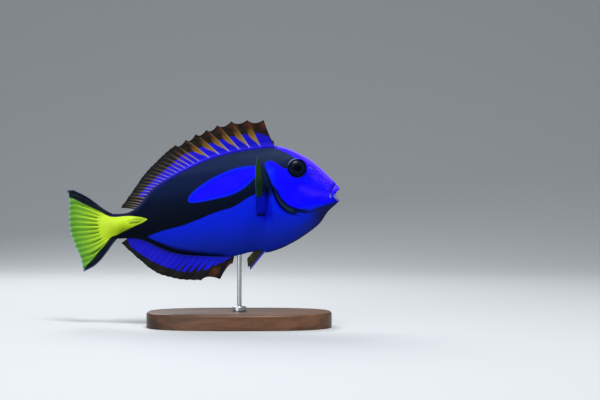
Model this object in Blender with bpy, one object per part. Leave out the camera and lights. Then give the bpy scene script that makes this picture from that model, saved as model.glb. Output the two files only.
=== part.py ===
"""A regal blue tang, life size, swimming with its tail swung to its left, on a plain display stand.

Metres, +Z up. The stand's underside is at Z = 0 and its rod stands on the Z axis. The fish faces +X.
The fish is shaped in its own frame, in millimetres: s runs back from the tip of the upper lip, y to
the fish's left and h up from the body's axis. An empty then gives it the pose.
"""

import math

import bmesh
import bpy
from mathutils import Matrix, Vector

# Pose and setting, in mm and degrees
GAP = 0.3  # left between pieces that touch
HEAD_UP = 7.5
LIP_HEIGHT = 85.4  # of the body's axis at the lip, over the floor
LIP_FORWARD = 66.1  # of the lip in front of the rod, which stands under the belly
SWING_START = 104.0  # station where the tail starts to swing to the left
SWING_FULL = 152.0  # station from which it runs straight on
SWING_SLOPE = 0.42  # sideways per mm back, at full swing

# Body: back and belly line, half width and the height of the widest place, each at stations s
BACK = (
    (2.6, 8.5), (7.9, 15.6), (15.9, 24.7), (24.3, 31.1), (35.2, 36.6), (44.0, 38.0), (61.0, 37.8),
    (80.8, 35.3), (99.2, 29.8), (109.8, 25.4), (120.8, 19.6), (127.8, 12.9), (133.2, 9.0), (141.7, 6.9),
    (149.0, 7.4),
)
BELLY = (
    (2.6, -4.5), (9.3, -9.0), (16.0, -16.2), (24.1, -21.3), (34.0, -26.0), (46.0, -29.8), (52.0, -30.6),
    (63.0, -29.0), (73.0, -30.2), (89.0, -28.2), (104.5, -25.3), (114.0, -22.2), (122.1, -17.8),
    (128.2, -13.7), (135.9, -10.6), (149.0, -9.1),
)
HALF_WIDTH = (
    (2.6, 3.0), (7.4, 4.5), (16.0, 7.1), (26.0, 8.8), (36.0, 10.6), (46.0, 11.7), (56.0, 12.0),
    (70.0, 11.4), (85.0, 9.9), (100.0, 7.9), (115.0, 5.7), (128.0, 4.1), (138.0, 3.4), (149.0, 2.9),
)
WIDEST = (
    (2.6, 1.5), (10.0, 3.0), (26.0, 6.0), (45.0, 5.0), (70.0, 4.0), (100.0, 1.0), (125.0, -0.8),
    (149.0, -0.9),
)
SECTION = 1.1  # over 1 draws the back and belly edges in from an ellipse
AROUND = 26  # steps from back to belly on one side

# Divisions of the body
GILL_LINE = (
    (-26.0, 23.5), (-14.0, 24.6), (-10.0, 27.0), (-8.0, 32.0), (-4.5, 37.3), (0.0, 40.4), (6.0, 42.4),
    (13.0, 43.6), (20.0, 45.2), (26.0, 45.4), (31.0, 43.6), (40.0, 40.0),
)
TRUNK_END = 118.0
STALK_END = 148.7
GILL_COVER = 0.75  # that the gill cover's edge stands over the flank
GILL_DIP = 0.45  # that the flank dips behind it
GILL_SPAN = (-11.0, 24.0)  # heights between which the cover's edge stands free

# Mouth: rings from its inner line over the lips, as middle of the upper lip, side, middle of the lower lip
LIPS = (
    ((3.5, 1.25), (4.9, 2.5, 1.1), (3.5, 0.75)),
    ((2.1, 2.9), (4.5, 2.8, 1.2), (2.7, -1.0)),
    ((0.45, 4.0), (4.4, 3.3, 1.3), (1.5, -2.3)),
    ((0.35, 5.6), (4.9, 3.8, 1.4), (1.3, -3.4)),
    ((1.3, 7.3), (5.7, 4.0, 1.6), (1.9, -4.2)),
    ((2.2, 7.9), (6.4, 3.8, 1.8), (2.7, -4.3)),
)
LIP_EDGE = (3.1, 7.3, 3.4)  # stations of the face's first ring: over, beside and under the lips

# Eye and nostrils
EYE = (26.0, 21.0)
EYE_RADIUS = 5.75
EYE_DOME = 1.7
EYE_DEPTH = 3.2
ORBIT_OUT = 7.25  # of the orbit's rim from the middle plane, at the eye's middle
ORBIT_FORWARD = 12.0  # degrees the rim looks forward
ORBIT_UP = 14.0  # degrees it looks up
ORBIT_SPAN = (6.7, 11.5)  # radii over which the flat rim blends into the head
LID_RADIUS = 0.55
NOSTRILS = ((18.2, 19.7, 0.75), (16.5, 18.7, 0.6))
NOSTRIL_RIM = 0.28
CLEAR = 4.0  # that a cutter reaches out past the skin

# Dorsal fin
DORSAL_ROOTS = (38.9, 40.9, 47.6, 87.3)  # of spines 1, 2, 3 and 9, with the rest evenly between
DORSAL_TIPS = (
    (38.7, 41.9), (43.5, 55.1), (54.0, 56.4), (64.4, 56.9), (73.8, 55.7), (81.2, 53.6), (88.4, 51.8),
    (95.3, 49.0), (102.6, 46.4),
)
DORSAL_FIRST_NOTCH = (40.4, 42.6)
DORSAL_SOFT_EDGE = (
    (102.6, 46.4), (107.0, 44.0), (114.8, 38.5), (124.7, 30.7), (134.0, 20.9), (141.0, 13.7), (144.2, 10.6),
)
DORSAL_SOFT_RAYS = 20
DORSAL_END = 133.0
SCALLOP = 2.0  # that the membrane's edge drops behind a spine's tip
SCALLOP_PLACE = 0.58

# Anal fin
ANAL_ROOTS = (73.6, 77.4, 83.4)
ANAL_TIPS = ((75.7, -34.8), (85.1, -43.8), (97.5, -43.0))
ANAL_FIRST_NOTCH = (79.3, -36.6)
ANAL_SOFT_EDGE = (
    (97.5, -43.0), (109.0, -41.1), (117.5, -38.3), (125.6, -34.4), (133.6, -26.9), (140.5, -19.4),
    (146.7, -12.3),
)
ANAL_SOFT_RAYS = 18
ANAL_END = 140.6

# Tail fin
CAUDAL_UPPER = (
    (149.0, 7.1), (152.8, 9.3), (157.0, 12.6), (161.1, 16.7), (165.9, 20.9), (171.3, 24.5), (175.8, 26.8),
    (179.7, 26.9),
)
CAUDAL_LOWER = ((149.0, -8.8), (152.2, -11.6), (157.6, -17.2), (163.0, -22.2), (168.2, -25.5), (175.4, -28.0))
CAUDAL_REAR = (
    (179.7, 26.9), (179.0, 20.5), (180.4, 12.0), (181.2, 1.7), (179.2, -9.7), (175.9, -20.8), (175.4, -28.0),
)
CAUDAL_RAYS = 16

# Paired fins, for one side: station, distance from the middle plane, height
PECTORAL_ROOT = ((46.8, 7.4), (49.4, -5.4))
PECTORAL_UPPER = ((48.6, 22.5, 20.5), (49.4, 36.0, 31.2))
PECTORAL_LOWER = ((51.6, 18.5, -6.7), (55.3, 27.0, -6.2))
PECTORAL_REAR = (
    (49.4, 36.0, 31.2), (51.6, 38.0, 24.0), (52.7, 38.5, 17.0), (53.4, 37.0, 9.5), (54.4, 33.0, -0.5),
    (55.3, 27.0, -6.2),
)
PECTORAL_RAYS = 15
PELVIC_ROOT = (52.4, 59.6)
PELVIC_OUT = 2.6
PELVIC_TIPS = {
    "right": ((64.6, 6.5, -40.3), (64.9, 4.6, -36.3)),
    "left": ((66.4, 7.6, -38.8), (66.1, 5.2, -33.4)),
}
PELVIC_RAYS = 4

# Fin thickness, as half of it
RIDGE = (0.62, 0.3)  # at a ray's root and tip
WEB = (0.36, 0.26)  # between the rays
SHEATH = 0.04  # share of the body's half width added where the dorsal and anal fins leave it

# Stand
BASE_LENGTH = 120.0
BASE_WIDTH = 66.0
BASE_HEIGHT = 10.0
BASE_BEVEL = 1.6
ROD_RADIUS = 1.5
FOOT_RADIUS = 4.5
FOOT_HEIGHT = 3.0

MM = 0.001


def smooth(points):
    """A function through the points (x, value) that doesn't overshoot them."""
    places = [p[0] for p in points]
    values = [p[1] for p in points]
    steps = [(values[i + 1] - values[i]) / (places[i + 1] - places[i]) for i in range(len(points) - 1)]
    slopes = [steps[0]]
    for before, after in zip(steps, steps[1:]):
        slopes.append(2 * before * after / (before + after) if before * after > 0 else 0.0)
    slopes.append(steps[-1])

    def value(x):
        i = 0
        while i < len(steps) - 1 and x > places[i + 1]:
            i += 1
        wide = places[i + 1] - places[i]
        t = (x - places[i]) / wide
        if t < 0 or t > 1:
            end = i if t < 0 else i + 1
            return values[end] + slopes[end] * (x - places[end])
        a = (1 + 2 * t) * (1 - t) ** 2
        b = t * (1 - t) ** 2
        c = t * t * (3 - 2 * t)
        d = t * t * (t - 1)
        return a * values[i] + b * wide * slopes[i] + c * values[i + 1] + d * wide * slopes[i + 1]

    return value


def along(points):
    """A smooth curve through the points, as a function of the share of its length."""
    lengths = [0.0]
    for a, b in zip(points, points[1:]):
        lengths.append(lengths[-1] + math.dist(a, b))
    axes = [
        smooth([(length / lengths[-1], p[axis]) for length, p in zip(lengths, points)])
        for axis in range(len(points[0]))
    ]
    return lambda share: Vector([axis(share) for axis in axes])


def ease(low, high, x):
    t = min(max((x - low) / (high - low), 0.0), 1.0)
    return t * t * (3 - 2 * t)


back = smooth(BACK)
belly = smooth(BELLY)
half_width = smooth(HALF_WIDTH)
widest = smooth(WIDEST)
gill_line = smooth(GILL_LINE)


def swing(s):
    """How far the body's middle plane lies to the left at station s, and its slope there."""
    span = SWING_FULL - SWING_START
    t = min(max((s - SWING_START) / span, 0.0), 1.0)
    aside = SWING_SLOPE * (span * (t**3 - t**4 / 2) + max(s - SWING_FULL, 0.0))
    return aside, SWING_SLOPE * t * t * (3 - 2 * t)


def swung(s, out, h):
    """A point of the straight fish at station s, out from the middle plane, where the swing takes it."""
    aside, slope = swing(s)
    angle = math.atan(slope)
    return Vector((s - out * math.sin(angle), aside + out * math.cos(angle), h))


def gill_step(s, h):
    """How far the gill cover stands out of the plain flank, or the flank behind it dips."""
    past = s - gill_line(h)
    free = ease(GILL_SPAN[0], GILL_SPAN[0] + 6, h) * (1 - ease(GILL_SPAN[1] - 6, GILL_SPAN[1], h))
    if past <= 0:
        return GILL_COVER * free * math.exp(-((past / 5) ** 2))
    return -GILL_DIP * free * math.exp(-((past / 4) ** 2))


def orbit(s, h):
    """The flat rim round the eye: its distance from the middle plane, and its share in the skin there."""
    back_from = s - EYE[0]
    above = h - EYE[1]
    out = ORBIT_OUT + math.tan(math.radians(ORBIT_FORWARD)) * back_from
    out -= math.tan(math.radians(ORBIT_UP)) * above
    return out, 1 - ease(*ORBIT_SPAN, math.hypot(back_from, above))


def flank(s, turn):
    """(distance from the middle plane, height) of the skin; turn is 0 on the back and pi on the belly."""
    rise = math.cos(turn)
    reach = back(s) - widest(s) if rise > 0 else widest(s) - belly(s)
    h = widest(s) + reach * rise
    across = max(math.sin(turn), 0.0)
    out = half_width(s) * across**SECTION + gill_step(s, h) * min(1.0, 2 * across)
    rim, share = orbit(s, h)
    return out + (rim - out) * share * min(1.0, 2 * across), h


def flank_out(s, h):
    """The skin's distance from the middle plane at a station and height."""
    reach = back(s) - widest(s) if h > widest(s) else widest(s) - belly(s)
    return flank(s, math.acos(min(max((h - widest(s)) / reach, -1.0), 1.0)))[0]


def edge_height(s, out, upper):
    """The skin's height over (upper) or under the point that lies out from the middle plane."""
    low, high = (0.0, math.pi / 2) if upper else (math.pi, math.pi / 2)
    for _ in range(30):
        turn = (low + high) / 2
        if flank(s, turn)[0] < abs(out):
            low = turn
        else:
            high = turn
    return flank(s, low)[1]


def shade(name, colour, roughness, metallic=0.0):
    material = bpy.data.materials.new(name)
    material.use_nodes = True
    shader = material.node_tree.nodes["Principled BSDF"]
    shader.inputs["Base Color"].default_value = (*colour, 1.0)
    shader.inputs["Roughness"].default_value = roughness
    shader.inputs["Metallic"].default_value = metallic
    material.diffuse_color = (*colour, 1.0)
    return material


def add_object(name, mesh_builder, material=None):
    """A new object from a bmesh in millimetres, with its faces turned outward."""
    bmesh.ops.recalc_face_normals(mesh_builder, faces=mesh_builder.faces)
    mesh = bpy.data.meshes.new(name)
    mesh_builder.to_mesh(mesh)
    mesh_builder.free()
    if material:
        mesh.materials.append(material)
    obj = bpy.data.objects.new(name, mesh)
    bpy.context.scene.collection.objects.link(obj)
    return obj


def keep_largest(mesh):
    """Drops every closed surface but the one with most faces."""
    builder = bmesh.new()
    builder.from_mesh(mesh)
    waiting = set(builder.faces)
    groups = []
    while waiting:
        group = {waiting.pop()}
        front = list(group)
        while front:
            face = front.pop()
            for edge in face.edges:
                for near in edge.link_faces:
                    if near in waiting:
                        waiting.remove(near)
                        group.add(near)
                        front.append(near)
        groups.append(group)
    groups.sort(key=len)
    spare = [face for group in groups[:-1] for face in group]
    bmesh.ops.delete(builder, geom=spare, context="FACES")
    builder.to_mesh(mesh)
    builder.free()


def combine(body, pieces, operation):
    """Joins the pieces to the body, or cuts them from it, and removes them."""
    group = bpy.data.collections.new(operation)
    for piece in pieces:
        group.objects.link(piece)
    step = body.modifiers.new(operation, "BOOLEAN")
    step.operation = operation
    step.operand_type = "COLLECTION"
    step.collection = group
    step.solver = "EXACT"
    graph = bpy.context.evaluated_depsgraph_get()
    joined = bpy.data.meshes.new_from_object(body.evaluated_get(graph))
    body.modifiers.clear()
    plain = body.data
    body.data = joined
    bpy.data.meshes.remove(plain)
    for piece in pieces:
        bpy.data.objects.remove(piece)
    bpy.data.collections.remove(group)
    keep_largest(body.data)


def ring_faces(builder, inner, outer):
    """Joins two rings of vertices by triangles that are alike on both flanks."""
    count = len(inner)
    for i in range(count):
        j = (i + 1) % count
        if i < count / 2:
            builder.faces.new((inner[i], inner[j], outer[j]))
            builder.faces.new((inner[i], outer[j], outer[i]))
        else:
            builder.faces.new((inner[i], inner[j], outer[i]))
            builder.faces.new((inner[j], outer[j], outer[i]))


def cross_cap(builder, ring):
    """Closes a ring by strips that run straight across the body."""
    count = len(ring)
    for i in range(count // 2):
        corners = [ring[i], ring[i + 1], ring[(count - i - 1) % count], ring[(count - i) % count]]
        builder.faces.new(list(dict.fromkeys(corners)))


def mouth_cap(builder, ring):
    """Closes the mouth's innermost ring by strips between the upper and the lower lip."""
    half = len(ring) // 2
    for side in (1, -1):
        for i in range(half // 2):
            places = (i, i + 1, half - i - 1, half - i)
            builder.faces.new(list(dict.fromkeys(ring[side * place] for place in places)))


def body_length(name, half_rings, mouth, material):
    """A length of the body from rings of (station, out, height) down its right side."""
    builder = bmesh.new()
    rings = []
    for half_ring in half_rings:
        right = [swung(s, -out, h) for s, out, h in half_ring]
        left = [swung(s, out, h) for s, out, h in half_ring[-2:0:-1]]
        rings.append([builder.verts.new(p) for p in right + left])
    for inner, outer in zip(rings, rings[1:]):
        ring_faces(builder, inner, outer)
    if mouth:
        mouth_cap(builder, rings[0])
    else:
        cross_cap(builder, rings[0])
    cross_cap(builder, rings[-1])
    return add_object(name, builder, material)


def turns():
    return [math.pi * i / AROUND for i in range(AROUND + 1)]


def gill_station(turn):
    """Where the gill line crosses a line of the skin."""
    s = 40.0
    for _ in range(30):
        s = (s + gill_line(flank(s, turn)[1])) / 2
    return s


def lip_ring(upper, side, lower):
    """A ring round the mouth through three named points."""
    ring = []
    for turn in turns():
        rise = math.cos(turn)
        end = upper if rise > 0 else lower
        share = abs(rise)
        s = side[0] + (end[0] - side[0]) * share**1.5
        ring.append((s, side[1] * max(math.sin(turn), 0.0), side[2] + (end[1] - side[2]) * share))
    return ring


def face_station(turn):
    """Where the face starts behind the lips."""
    rise = math.cos(turn)
    end = LIP_EDGE[0] if rise > 0 else LIP_EDGE[2]
    return LIP_EDGE[1] + (end - LIP_EDGE[1]) * abs(rise) ** 1.5


def skin_rings(first, last, steps, crowding):
    """Rings on the skin between two stations, each a function of the turn."""
    rings = []
    for i in range(steps + 1):
        share = (i / steps) ** crowding
        ring = []
        for turn in turns():
            s = first(turn) + (last(turn) - first(turn)) * share
            out, h = flank(s, turn)
            ring.append((s, out if 0 < turn < math.pi else 0.0, h))
        rings.append(ring)
    return rings


def turned(name, profile, sides, material=None):
    """A closed turned shape about Z from (radius, height) points, with a point at each end on the axis."""
    builder = bmesh.new()
    rings = []
    for radius, z in profile:
        if radius == 0:
            rings.append([builder.verts.new((0, 0, z))])
            continue
        circle = [2 * math.pi * i / sides for i in range(sides)]
        rings.append([builder.verts.new((radius * math.cos(a), radius * math.sin(a), z)) for a in circle])
    for lower, upper in zip(rings, rings[1:]):
        for i in range(sides):
            j = (i + 1) % sides
            corners = [ring[k % len(ring)] for ring, k in ((lower, i), (lower, j), (upper, j), (upper, i))]
            builder.faces.new(list(dict.fromkeys(corners)))
    return add_object(name, builder, material)


def torus(name, radius, thick, sides, around):
    builder = bmesh.new()
    rings = []
    for i in range(sides):
        a = 2 * math.pi * i / sides
        ring = []
        for j in range(around):
            b = 2 * math.pi * j / around
            far = radius + thick * math.cos(b)
            ring.append(builder.verts.new((far * math.cos(a), far * math.sin(a), thick * math.sin(b))))
        rings.append(ring)
    for i in range(sides):
        for j in range(around):
            a, b = rings[i], rings[(i + 1) % sides]
            builder.faces.new((a[j], b[j], b[(j + 1) % around], a[(j + 1) % around]))
    return add_object(name, builder)


def set_on_flank(obj, side, s, h):
    """Sets the object on the skin with its Z axis straight out of it. Side is 1 on the left, -1 on the right."""
    reach = 1.5
    back_slope = (flank_out(s + reach, h) - flank_out(s - reach, h)) / (2 * reach)
    up_slope = (flank_out(s, h + reach) - flank_out(s, h - reach)) / (2 * reach)
    axis = Vector((-back_slope, side, -up_slope))
    obj.rotation_mode = "QUATERNION"
    obj.rotation_quaternion = axis.to_track_quat("Z", "Y")
    obj.location = (s, side * flank_out(s, h), h)
    bpy.context.view_layer.update()
    return obj


def eye_profile(grow):
    """The eye's turned profile: a dome over a plug that sits in the socket."""
    bottom = -EYE_DEPTH - grow
    points = [(0.0, bottom), (EYE_RADIUS * 0.8 + grow, bottom), (EYE_RADIUS + grow, -1.2)]
    if grow:
        return points + [(EYE_RADIUS + grow, CLEAR), (0.0, CLEAR)]
    for angle in (0, 25, 50, 70):
        a = math.radians(angle)
        points.append((EYE_RADIUS * math.cos(a), EYE_DOME * math.sin(a)))
    return points + [(0.0, EYE_DOME)]


def make_head(material):
    rings = [lip_ring(*ring) for ring in LIPS]
    rings += skin_rings(face_station, gill_station, 18, 1.15)
    head = body_length("head", rings, True, material)
    raised = []
    hollow = []
    for side in (1, -1):
        lid = torus("lid", EYE_RADIUS + LID_RADIUS, LID_RADIUS, 32, 8)
        raised.append(set_on_flank(lid, side, *EYE))
        socket = turned("socket", eye_profile(GAP), 32)
        hollow.append(set_on_flank(socket, side, *EYE))
        for s, h, radius in NOSTRILS:
            rim = torus("rim", radius + NOSTRIL_RIM / 2, NOSTRIL_RIM, 12, 6)
            raised.append(set_on_flank(rim, side, s, h))
            bore = ((0.0, -radius - 0.5), (radius * 0.7, -radius), (radius, CLEAR), (0.0, CLEAR))
            hollow.append(set_on_flank(turned("pit", bore, 12), side, s, h))
    combine(head, raised, "UNION")
    combine(head, hollow, "DIFFERENCE")
    return head


def make_trunk(material):
    rings = skin_rings(lambda turn: gill_station(turn) + GAP, lambda turn: TRUNK_END, 20, 1.15)
    return body_length("trunk", rings, False, material)


def make_stalk(material):
    rings = skin_rings(lambda turn: TRUNK_END + GAP, lambda turn: STALK_END, 10, 1.0)
    stalk = body_length("tail_stalk", rings, False, material)
    blades = []
    for side in (1, -1):
        blade = turned("blade", ((0.0, -4.5), (0.8, -2.5), (1.0, 0.5), (0.7, 2.8), (0.0, 5.2)), 10)
        blade.rotation_euler = (0.0, -math.pi / 2, side * math.atan(swing(134.0)[1]))
        blade.location = swung(134.0, side * (flank_out(134.0, 0.8) + 0.1), 0.8)
        blades.append(blade)
    bpy.context.view_layer.update()
    combine(stalk, blades, "UNION")
    return stalk


def vane(name, left, right, material):
    """A closed vane from two grids of points, [column][row], cut into like triangles."""
    builder = bmesh.new()
    faces = [[[builder.verts.new(p) for p in column] for column in grid] for grid in (left, right)]
    columns = len(left)
    rows = len(left[0])
    for grid in faces:
        for k in range(columns - 1):
            for r in range(rows - 1):
                builder.faces.new((grid[k][r], grid[k + 1][r], grid[k + 1][r + 1]))
                builder.faces.new((grid[k][r], grid[k + 1][r + 1], grid[k][r + 1]))
    rim = [(k, 0) for k in range(columns)] + [(columns - 1, r) for r in range(1, rows)]
    rim += [(k, rows - 1) for k in range(columns - 2, -1, -1)] + [(0, r) for r in range(rows - 2, 0, -1)]
    for (k, r), (m, q) in zip(rim, rim[1:] + rim[:1]):
        builder.faces.new((faces[0][k][r], faces[0][m][q], faces[1][m][q]))
        builder.faces.new((faces[0][k][r], faces[1][m][q], faces[1][k][r]))
    return add_object(name, builder, material)


def half_thickness(column, share):
    """Half the vane's thickness; the even columns are rays, raised over the web between them."""
    root, tip = WEB if column % 2 else RIDGE
    return root + (tip - root) * share


def rows_of(count):
    return [(i / count) ** 0.9 for i in range(count + 1)]


def scalloped(tips, drop, first_notch):
    """The edge points of spines and the notches between them; drop is signed towards the root."""
    edge = [tips[0], first_notch]
    for i, (a, b) in enumerate(zip(tips[1:], tips[2:])):
        edge.append(a)
        s = a[0] + (b[0] - a[0]) * SCALLOP_PLACE
        edge.append((s, a[1] + (b[1] - a[1]) * SCALLOP_PLACE + drop))
    return edge + [tips[-1]]


def soft_edge(curve_points, rays, drop):
    """The edge points of the soft rays after the last spine, and the slight notches between them."""
    curve = along(curve_points)
    edge = []
    for i in range(1, 2 * rays + 1):
        point = curve(i / (2 * rays))
        edge.append((point[0], point[1] + (drop if i % 2 else 0.0)))
    return edge


def median_fin(name, roots, edge, upper, lean, rows, material):
    """A fin on the back or belly, with a column of points from each root station to its edge point."""
    left = []
    right = []
    for column, (root, tip) in enumerate(zip(roots, edge)):
        start = back(root) + GAP if upper else belly(root) - GAP
        sides = ([], [])
        for share in rows_of(rows):
            s = root + (tip[0] - root) * share
            h = start + (tip[1] - start) * share
            bow = lean * share * (1 - share) * math.dist((root, start), tip)
            sheath = SHEATH * half_width(root) * max(0.0, 1 - share / 0.12)
            half = half_thickness(column, share) + sheath
            sides[0].append(swung(s, half, h + bow))
            sides[1].append(swung(s, -half, h + bow))
        left.append(sides[0])
        right.append(sides[1])
    return vane(name, left, right, material)


def make_dorsal(material):
    first, second, third, ninth = DORSAL_ROOTS
    spines = [first, second] + [third + (ninth - third) * i / 6 for i in range(7)]
    roots = []
    for a, b in zip(spines, spines[1:]):
        roots += [a, (a + b) / 2]
    steps = 2 * DORSAL_SOFT_RAYS
    roots += [ninth + (DORSAL_END - ninth) * i / steps for i in range(steps + 1)]
    edge = scalloped(DORSAL_TIPS, -SCALLOP, DORSAL_FIRST_NOTCH)
    edge += soft_edge(DORSAL_SOFT_EDGE, DORSAL_SOFT_RAYS, -0.3)
    return median_fin("dorsal_fin", roots, edge, True, 0.12, 8, material)


def make_anal(material):
    roots = []
    for a, b in zip(ANAL_ROOTS, ANAL_ROOTS[1:]):
        roots += [a, (a + b) / 2]
    steps = 2 * ANAL_SOFT_RAYS
    roots += [ANAL_ROOTS[-1] + (ANAL_END - ANAL_ROOTS[-1]) * i / steps for i in range(steps + 1)]
    edge = scalloped(ANAL_TIPS, SCALLOP, ANAL_FIRST_NOTCH) + soft_edge(ANAL_SOFT_EDGE, ANAL_SOFT_RAYS, 0.3)
    return median_fin("anal_fin", roots, edge, False, -0.12, 7, material)


def patch(upper, lower, root, rear, across, out):
    """A point of the surface that four curves bound."""
    mixed = upper(out) * (1 - across) + lower(out) * across + root(across) * (1 - out) + rear(across) * out
    inner_ends = root(0) * (1 - across) + root(1) * across
    outer_ends = rear(0) * (1 - across) + rear(1) * across
    return mixed - inner_ends * (1 - out) - outer_ends * out


def make_caudal(material):
    upper = along(CAUDAL_UPPER)
    lower = along(CAUDAL_LOWER)
    rear = along(CAUDAL_REAR)
    root = along((CAUDAL_UPPER[0], CAUDAL_LOWER[0]))
    columns = 2 * CAUDAL_RAYS - 1
    left = []
    right = []
    for column in range(columns):
        across = column / (columns - 1)
        sides = ([], [])
        for share in rows_of(9):
            s, h = patch(upper, lower, root, rear, across, share)
            plug = flank_out(STALK_END, root(across)[1]) * 0.8 * max(0.0, 1 - share / 0.3) ** 1.5
            half = max(half_thickness(column, share), plug)
            sides[0].append(swung(s, half, h))
            sides[1].append(swung(s, -half, h))
        left.append(sides[0])
        right.append(sides[1])
    return vane("caudal_fin", left, right, material)


def paired_vane(name, grid, halves, side, on_body, material):
    """A vane round a grid of middle points in (station, out, height); on_body sets its root on the skin."""
    left = []
    right = []
    columns = len(grid)
    for k in range(columns):
        sides = ([], [])
        for r in range(len(grid[0])):
            across = grid[min(k + 1, columns - 1)][r] - grid[max(k - 1, 0)][r]
            outward = grid[k][min(r + 1, len(grid[0]) - 1)] - grid[k][max(r - 1, 0)]
            normal = across.cross(outward).normalized()
            for line, sign in ((sides[0], 1), (sides[1], -1)):
                point = grid[k][r] + normal * halves[k][r] * sign
                if r == 0:
                    point = on_body(point)
                line.append(Vector((point[0], side * point[1], point[2])))
        left.append(sides[0])
        right.append(sides[1])
    return vane(name, left, right, material)


def make_pectoral(word, side, material):
    top, bottom = [Vector((s, flank_out(s, h) + GAP, h)) for s, h in PECTORAL_ROOT]
    upper = along((top, *PECTORAL_UPPER))
    lower = along((bottom, *PECTORAL_LOWER))
    rear = along(PECTORAL_REAR)
    root = along((top, bottom))
    columns = 2 * PECTORAL_RAYS - 1
    grid = []
    halves = []
    for column in range(columns):
        across = column / (columns - 1)
        grid.append([patch(upper, lower, root, rear, across, share) for share in rows_of(7)])
        halves.append([half_thickness(column, share) + 0.25 * (1 - share) ** 4 for share in rows_of(7)])

    def on_body(point):
        return Vector((point[0], flank_out(point[0], point[2]) + GAP, point[2]))

    return paired_vane(f"pectoral_fin_{word}", grid, halves, side, on_body, material)


def make_pelvic(word, side, material):
    front, rear_root = PELVIC_ROOT
    tip, notch = [Vector(p) for p in PELVIC_TIPS[word]]
    columns = 2 * PELVIC_RAYS - 1
    grid = []
    halves = []
    for column in range(columns):
        across = column / (columns - 1)
        s = front + (rear_root - front) * across
        start = Vector((s, PELVIC_OUT, edge_height(s, PELVIC_OUT, False) - GAP))
        end = tip.lerp(notch, across)
        grid.append([start.lerp(end, share) for share in rows_of(5)])
        halves.append([half_thickness(column, share) for share in rows_of(5)])

    def on_body(point):
        return Vector((point[0], point[1], edge_height(point[0], point[1], False) - GAP))

    return paired_vane(f"pelvic_fin_{word}", grid, halves, side, on_body, material)


def make_eye(word, side, material):
    return set_on_flank(turned(f"eye_{word}", eye_profile(0.0), 32, material), side, *EYE)


def make_base(material):
    builder = bmesh.new()
    outline = []
    for i in range(72):
        a = 2 * math.pi * i / 72
        x = BASE_LENGTH / 2 * math.copysign(abs(math.cos(a)) ** 0.75, math.cos(a))
        y = BASE_WIDTH / 2 * math.copysign(abs(math.sin(a)) ** 0.75, math.sin(a))
        outline.append(builder.verts.new((x, y, 0.0)))
    floor = builder.faces.new(outline)
    risen = bmesh.ops.extrude_face_region(builder, geom=[floor])["geom"]
    upper = [part for part in risen if isinstance(part, bmesh.types.BMVert)]
    bmesh.ops.translate(builder, verts=upper, vec=(0.0, 0.0, BASE_HEIGHT))
    rim = [edge for edge in builder.edges if all(v in upper for v in edge.verts)]
    bmesh.ops.bevel(builder, geom=rim, offset=BASE_BEVEL, segments=3, profile=0.5, affect="EDGES")
    return add_object("stand_base", builder, material)


def belly_over(x, y):
    """The height over the floor where the vertical line at (x, y) meets the posed belly."""
    tilt = math.radians(HEAD_UP)
    z = LIP_HEIGHT - 40.0
    for _ in range(20):
        ahead = x - LIP_FORWARD
        s = -ahead * math.cos(tilt) - (z - LIP_HEIGHT) * math.sin(tilt)
        h = -ahead * math.sin(tilt) + (z - LIP_HEIGHT) * math.cos(tilt)
        z += (edge_height(s, y, False) - h) / math.cos(tilt)
    return z


def make_rod(material):
    bottom = BASE_HEIGHT + GAP
    foot = bottom + FOOT_HEIGHT
    top = belly_over(0.0, 0.0) - GAP
    profile = (
        (0.0, bottom), (FOOT_RADIUS, bottom), (FOOT_RADIUS, foot - 0.8), (FOOT_RADIUS - 0.8, foot),
        (ROD_RADIUS, foot), (ROD_RADIUS, top), (0.0, top),
    )
    rod = turned("stand_rod", profile, 24, material)
    for vertex in rod.data.vertices:
        if vertex.co.z > top - 1.0:
            vertex.co.z = belly_over(vertex.co.x, vertex.co.y) - GAP
    return rod


def settle(obj, parent, pose):
    """Takes the object from the fish's frame, in mm, to metres under its parent."""
    flip = Matrix.Diagonal((-MM, MM, MM, 1.0)) if pose else Matrix.Diagonal((MM, MM, MM, 1.0))
    obj.data.transform(flip @ obj.matrix_world)
    if pose:
        obj.data.flip_normals()
    obj.matrix_world = Matrix.Identity(4)
    centre = sum((Vector(corner) for corner in obj.bound_box), Vector()) / 8
    obj.data.transform(Matrix.Translation(-centre))
    obj.rotation_mode = "XYZ"
    obj.rotation_euler = (0.0, 0.0, 0.0)
    obj.location = centre
    obj.parent = parent
    obj.data.shade_smooth()
    obj.data.set_sharp_from_angle(angle=math.radians(38))


def main():
    for obj in list(bpy.data.objects):
        bpy.data.objects.remove(obj)
    flesh = shade("Blue body skin", (0.012, 0.03, 0.42), 0.35)
    dark = shade("Black-blue tail skin", (0.01, 0.02, 0.06), 0.4)
    fin = shade("Blue fin membrane", (0.03, 0.02, 0.55), 0.4)
    yellow = shade("Yellow fin membrane", (0.72, 0.95, 0.08), 0.4)
    iris = shade("Dark glossy eye", (0.005, 0.01, 0.03), 0.1)
    wood = shade("Dark oiled walnut", (0.06, 0.035, 0.02), 0.45)
    steel = shade("Brushed stainless steel", (0.6, 0.6, 0.6), 0.3, 1.0)

    fish = bpy.data.objects.new("fish_pose", None)
    stand = bpy.data.objects.new("stand", None)
    for empty in (fish, stand):
        bpy.context.scene.collection.objects.link(empty)
    pieces = [make_head(flesh), make_trunk(flesh), make_stalk(dark)]
    pieces += [make_dorsal(fin), make_anal(fin), make_caudal(yellow)]
    for word, side in (("left", 1), ("right", -1)):
        pieces.append(make_pectoral(word, side, yellow))
        pieces.append(make_pelvic(word, side, fin))
        pieces.append(make_eye(word, side, iris))
    bpy.context.view_layer.update()
    for piece in pieces:
        settle(piece, fish, True)
    for piece in (make_base(wood), make_rod(steel)):
        settle(piece, stand, False)
    fish.location = (LIP_FORWARD * MM, 0.0, LIP_HEIGHT * MM)
    fish.rotation_euler = (0.0, -math.radians(HEAD_UP), 0.0)


main()
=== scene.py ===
import math

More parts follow.
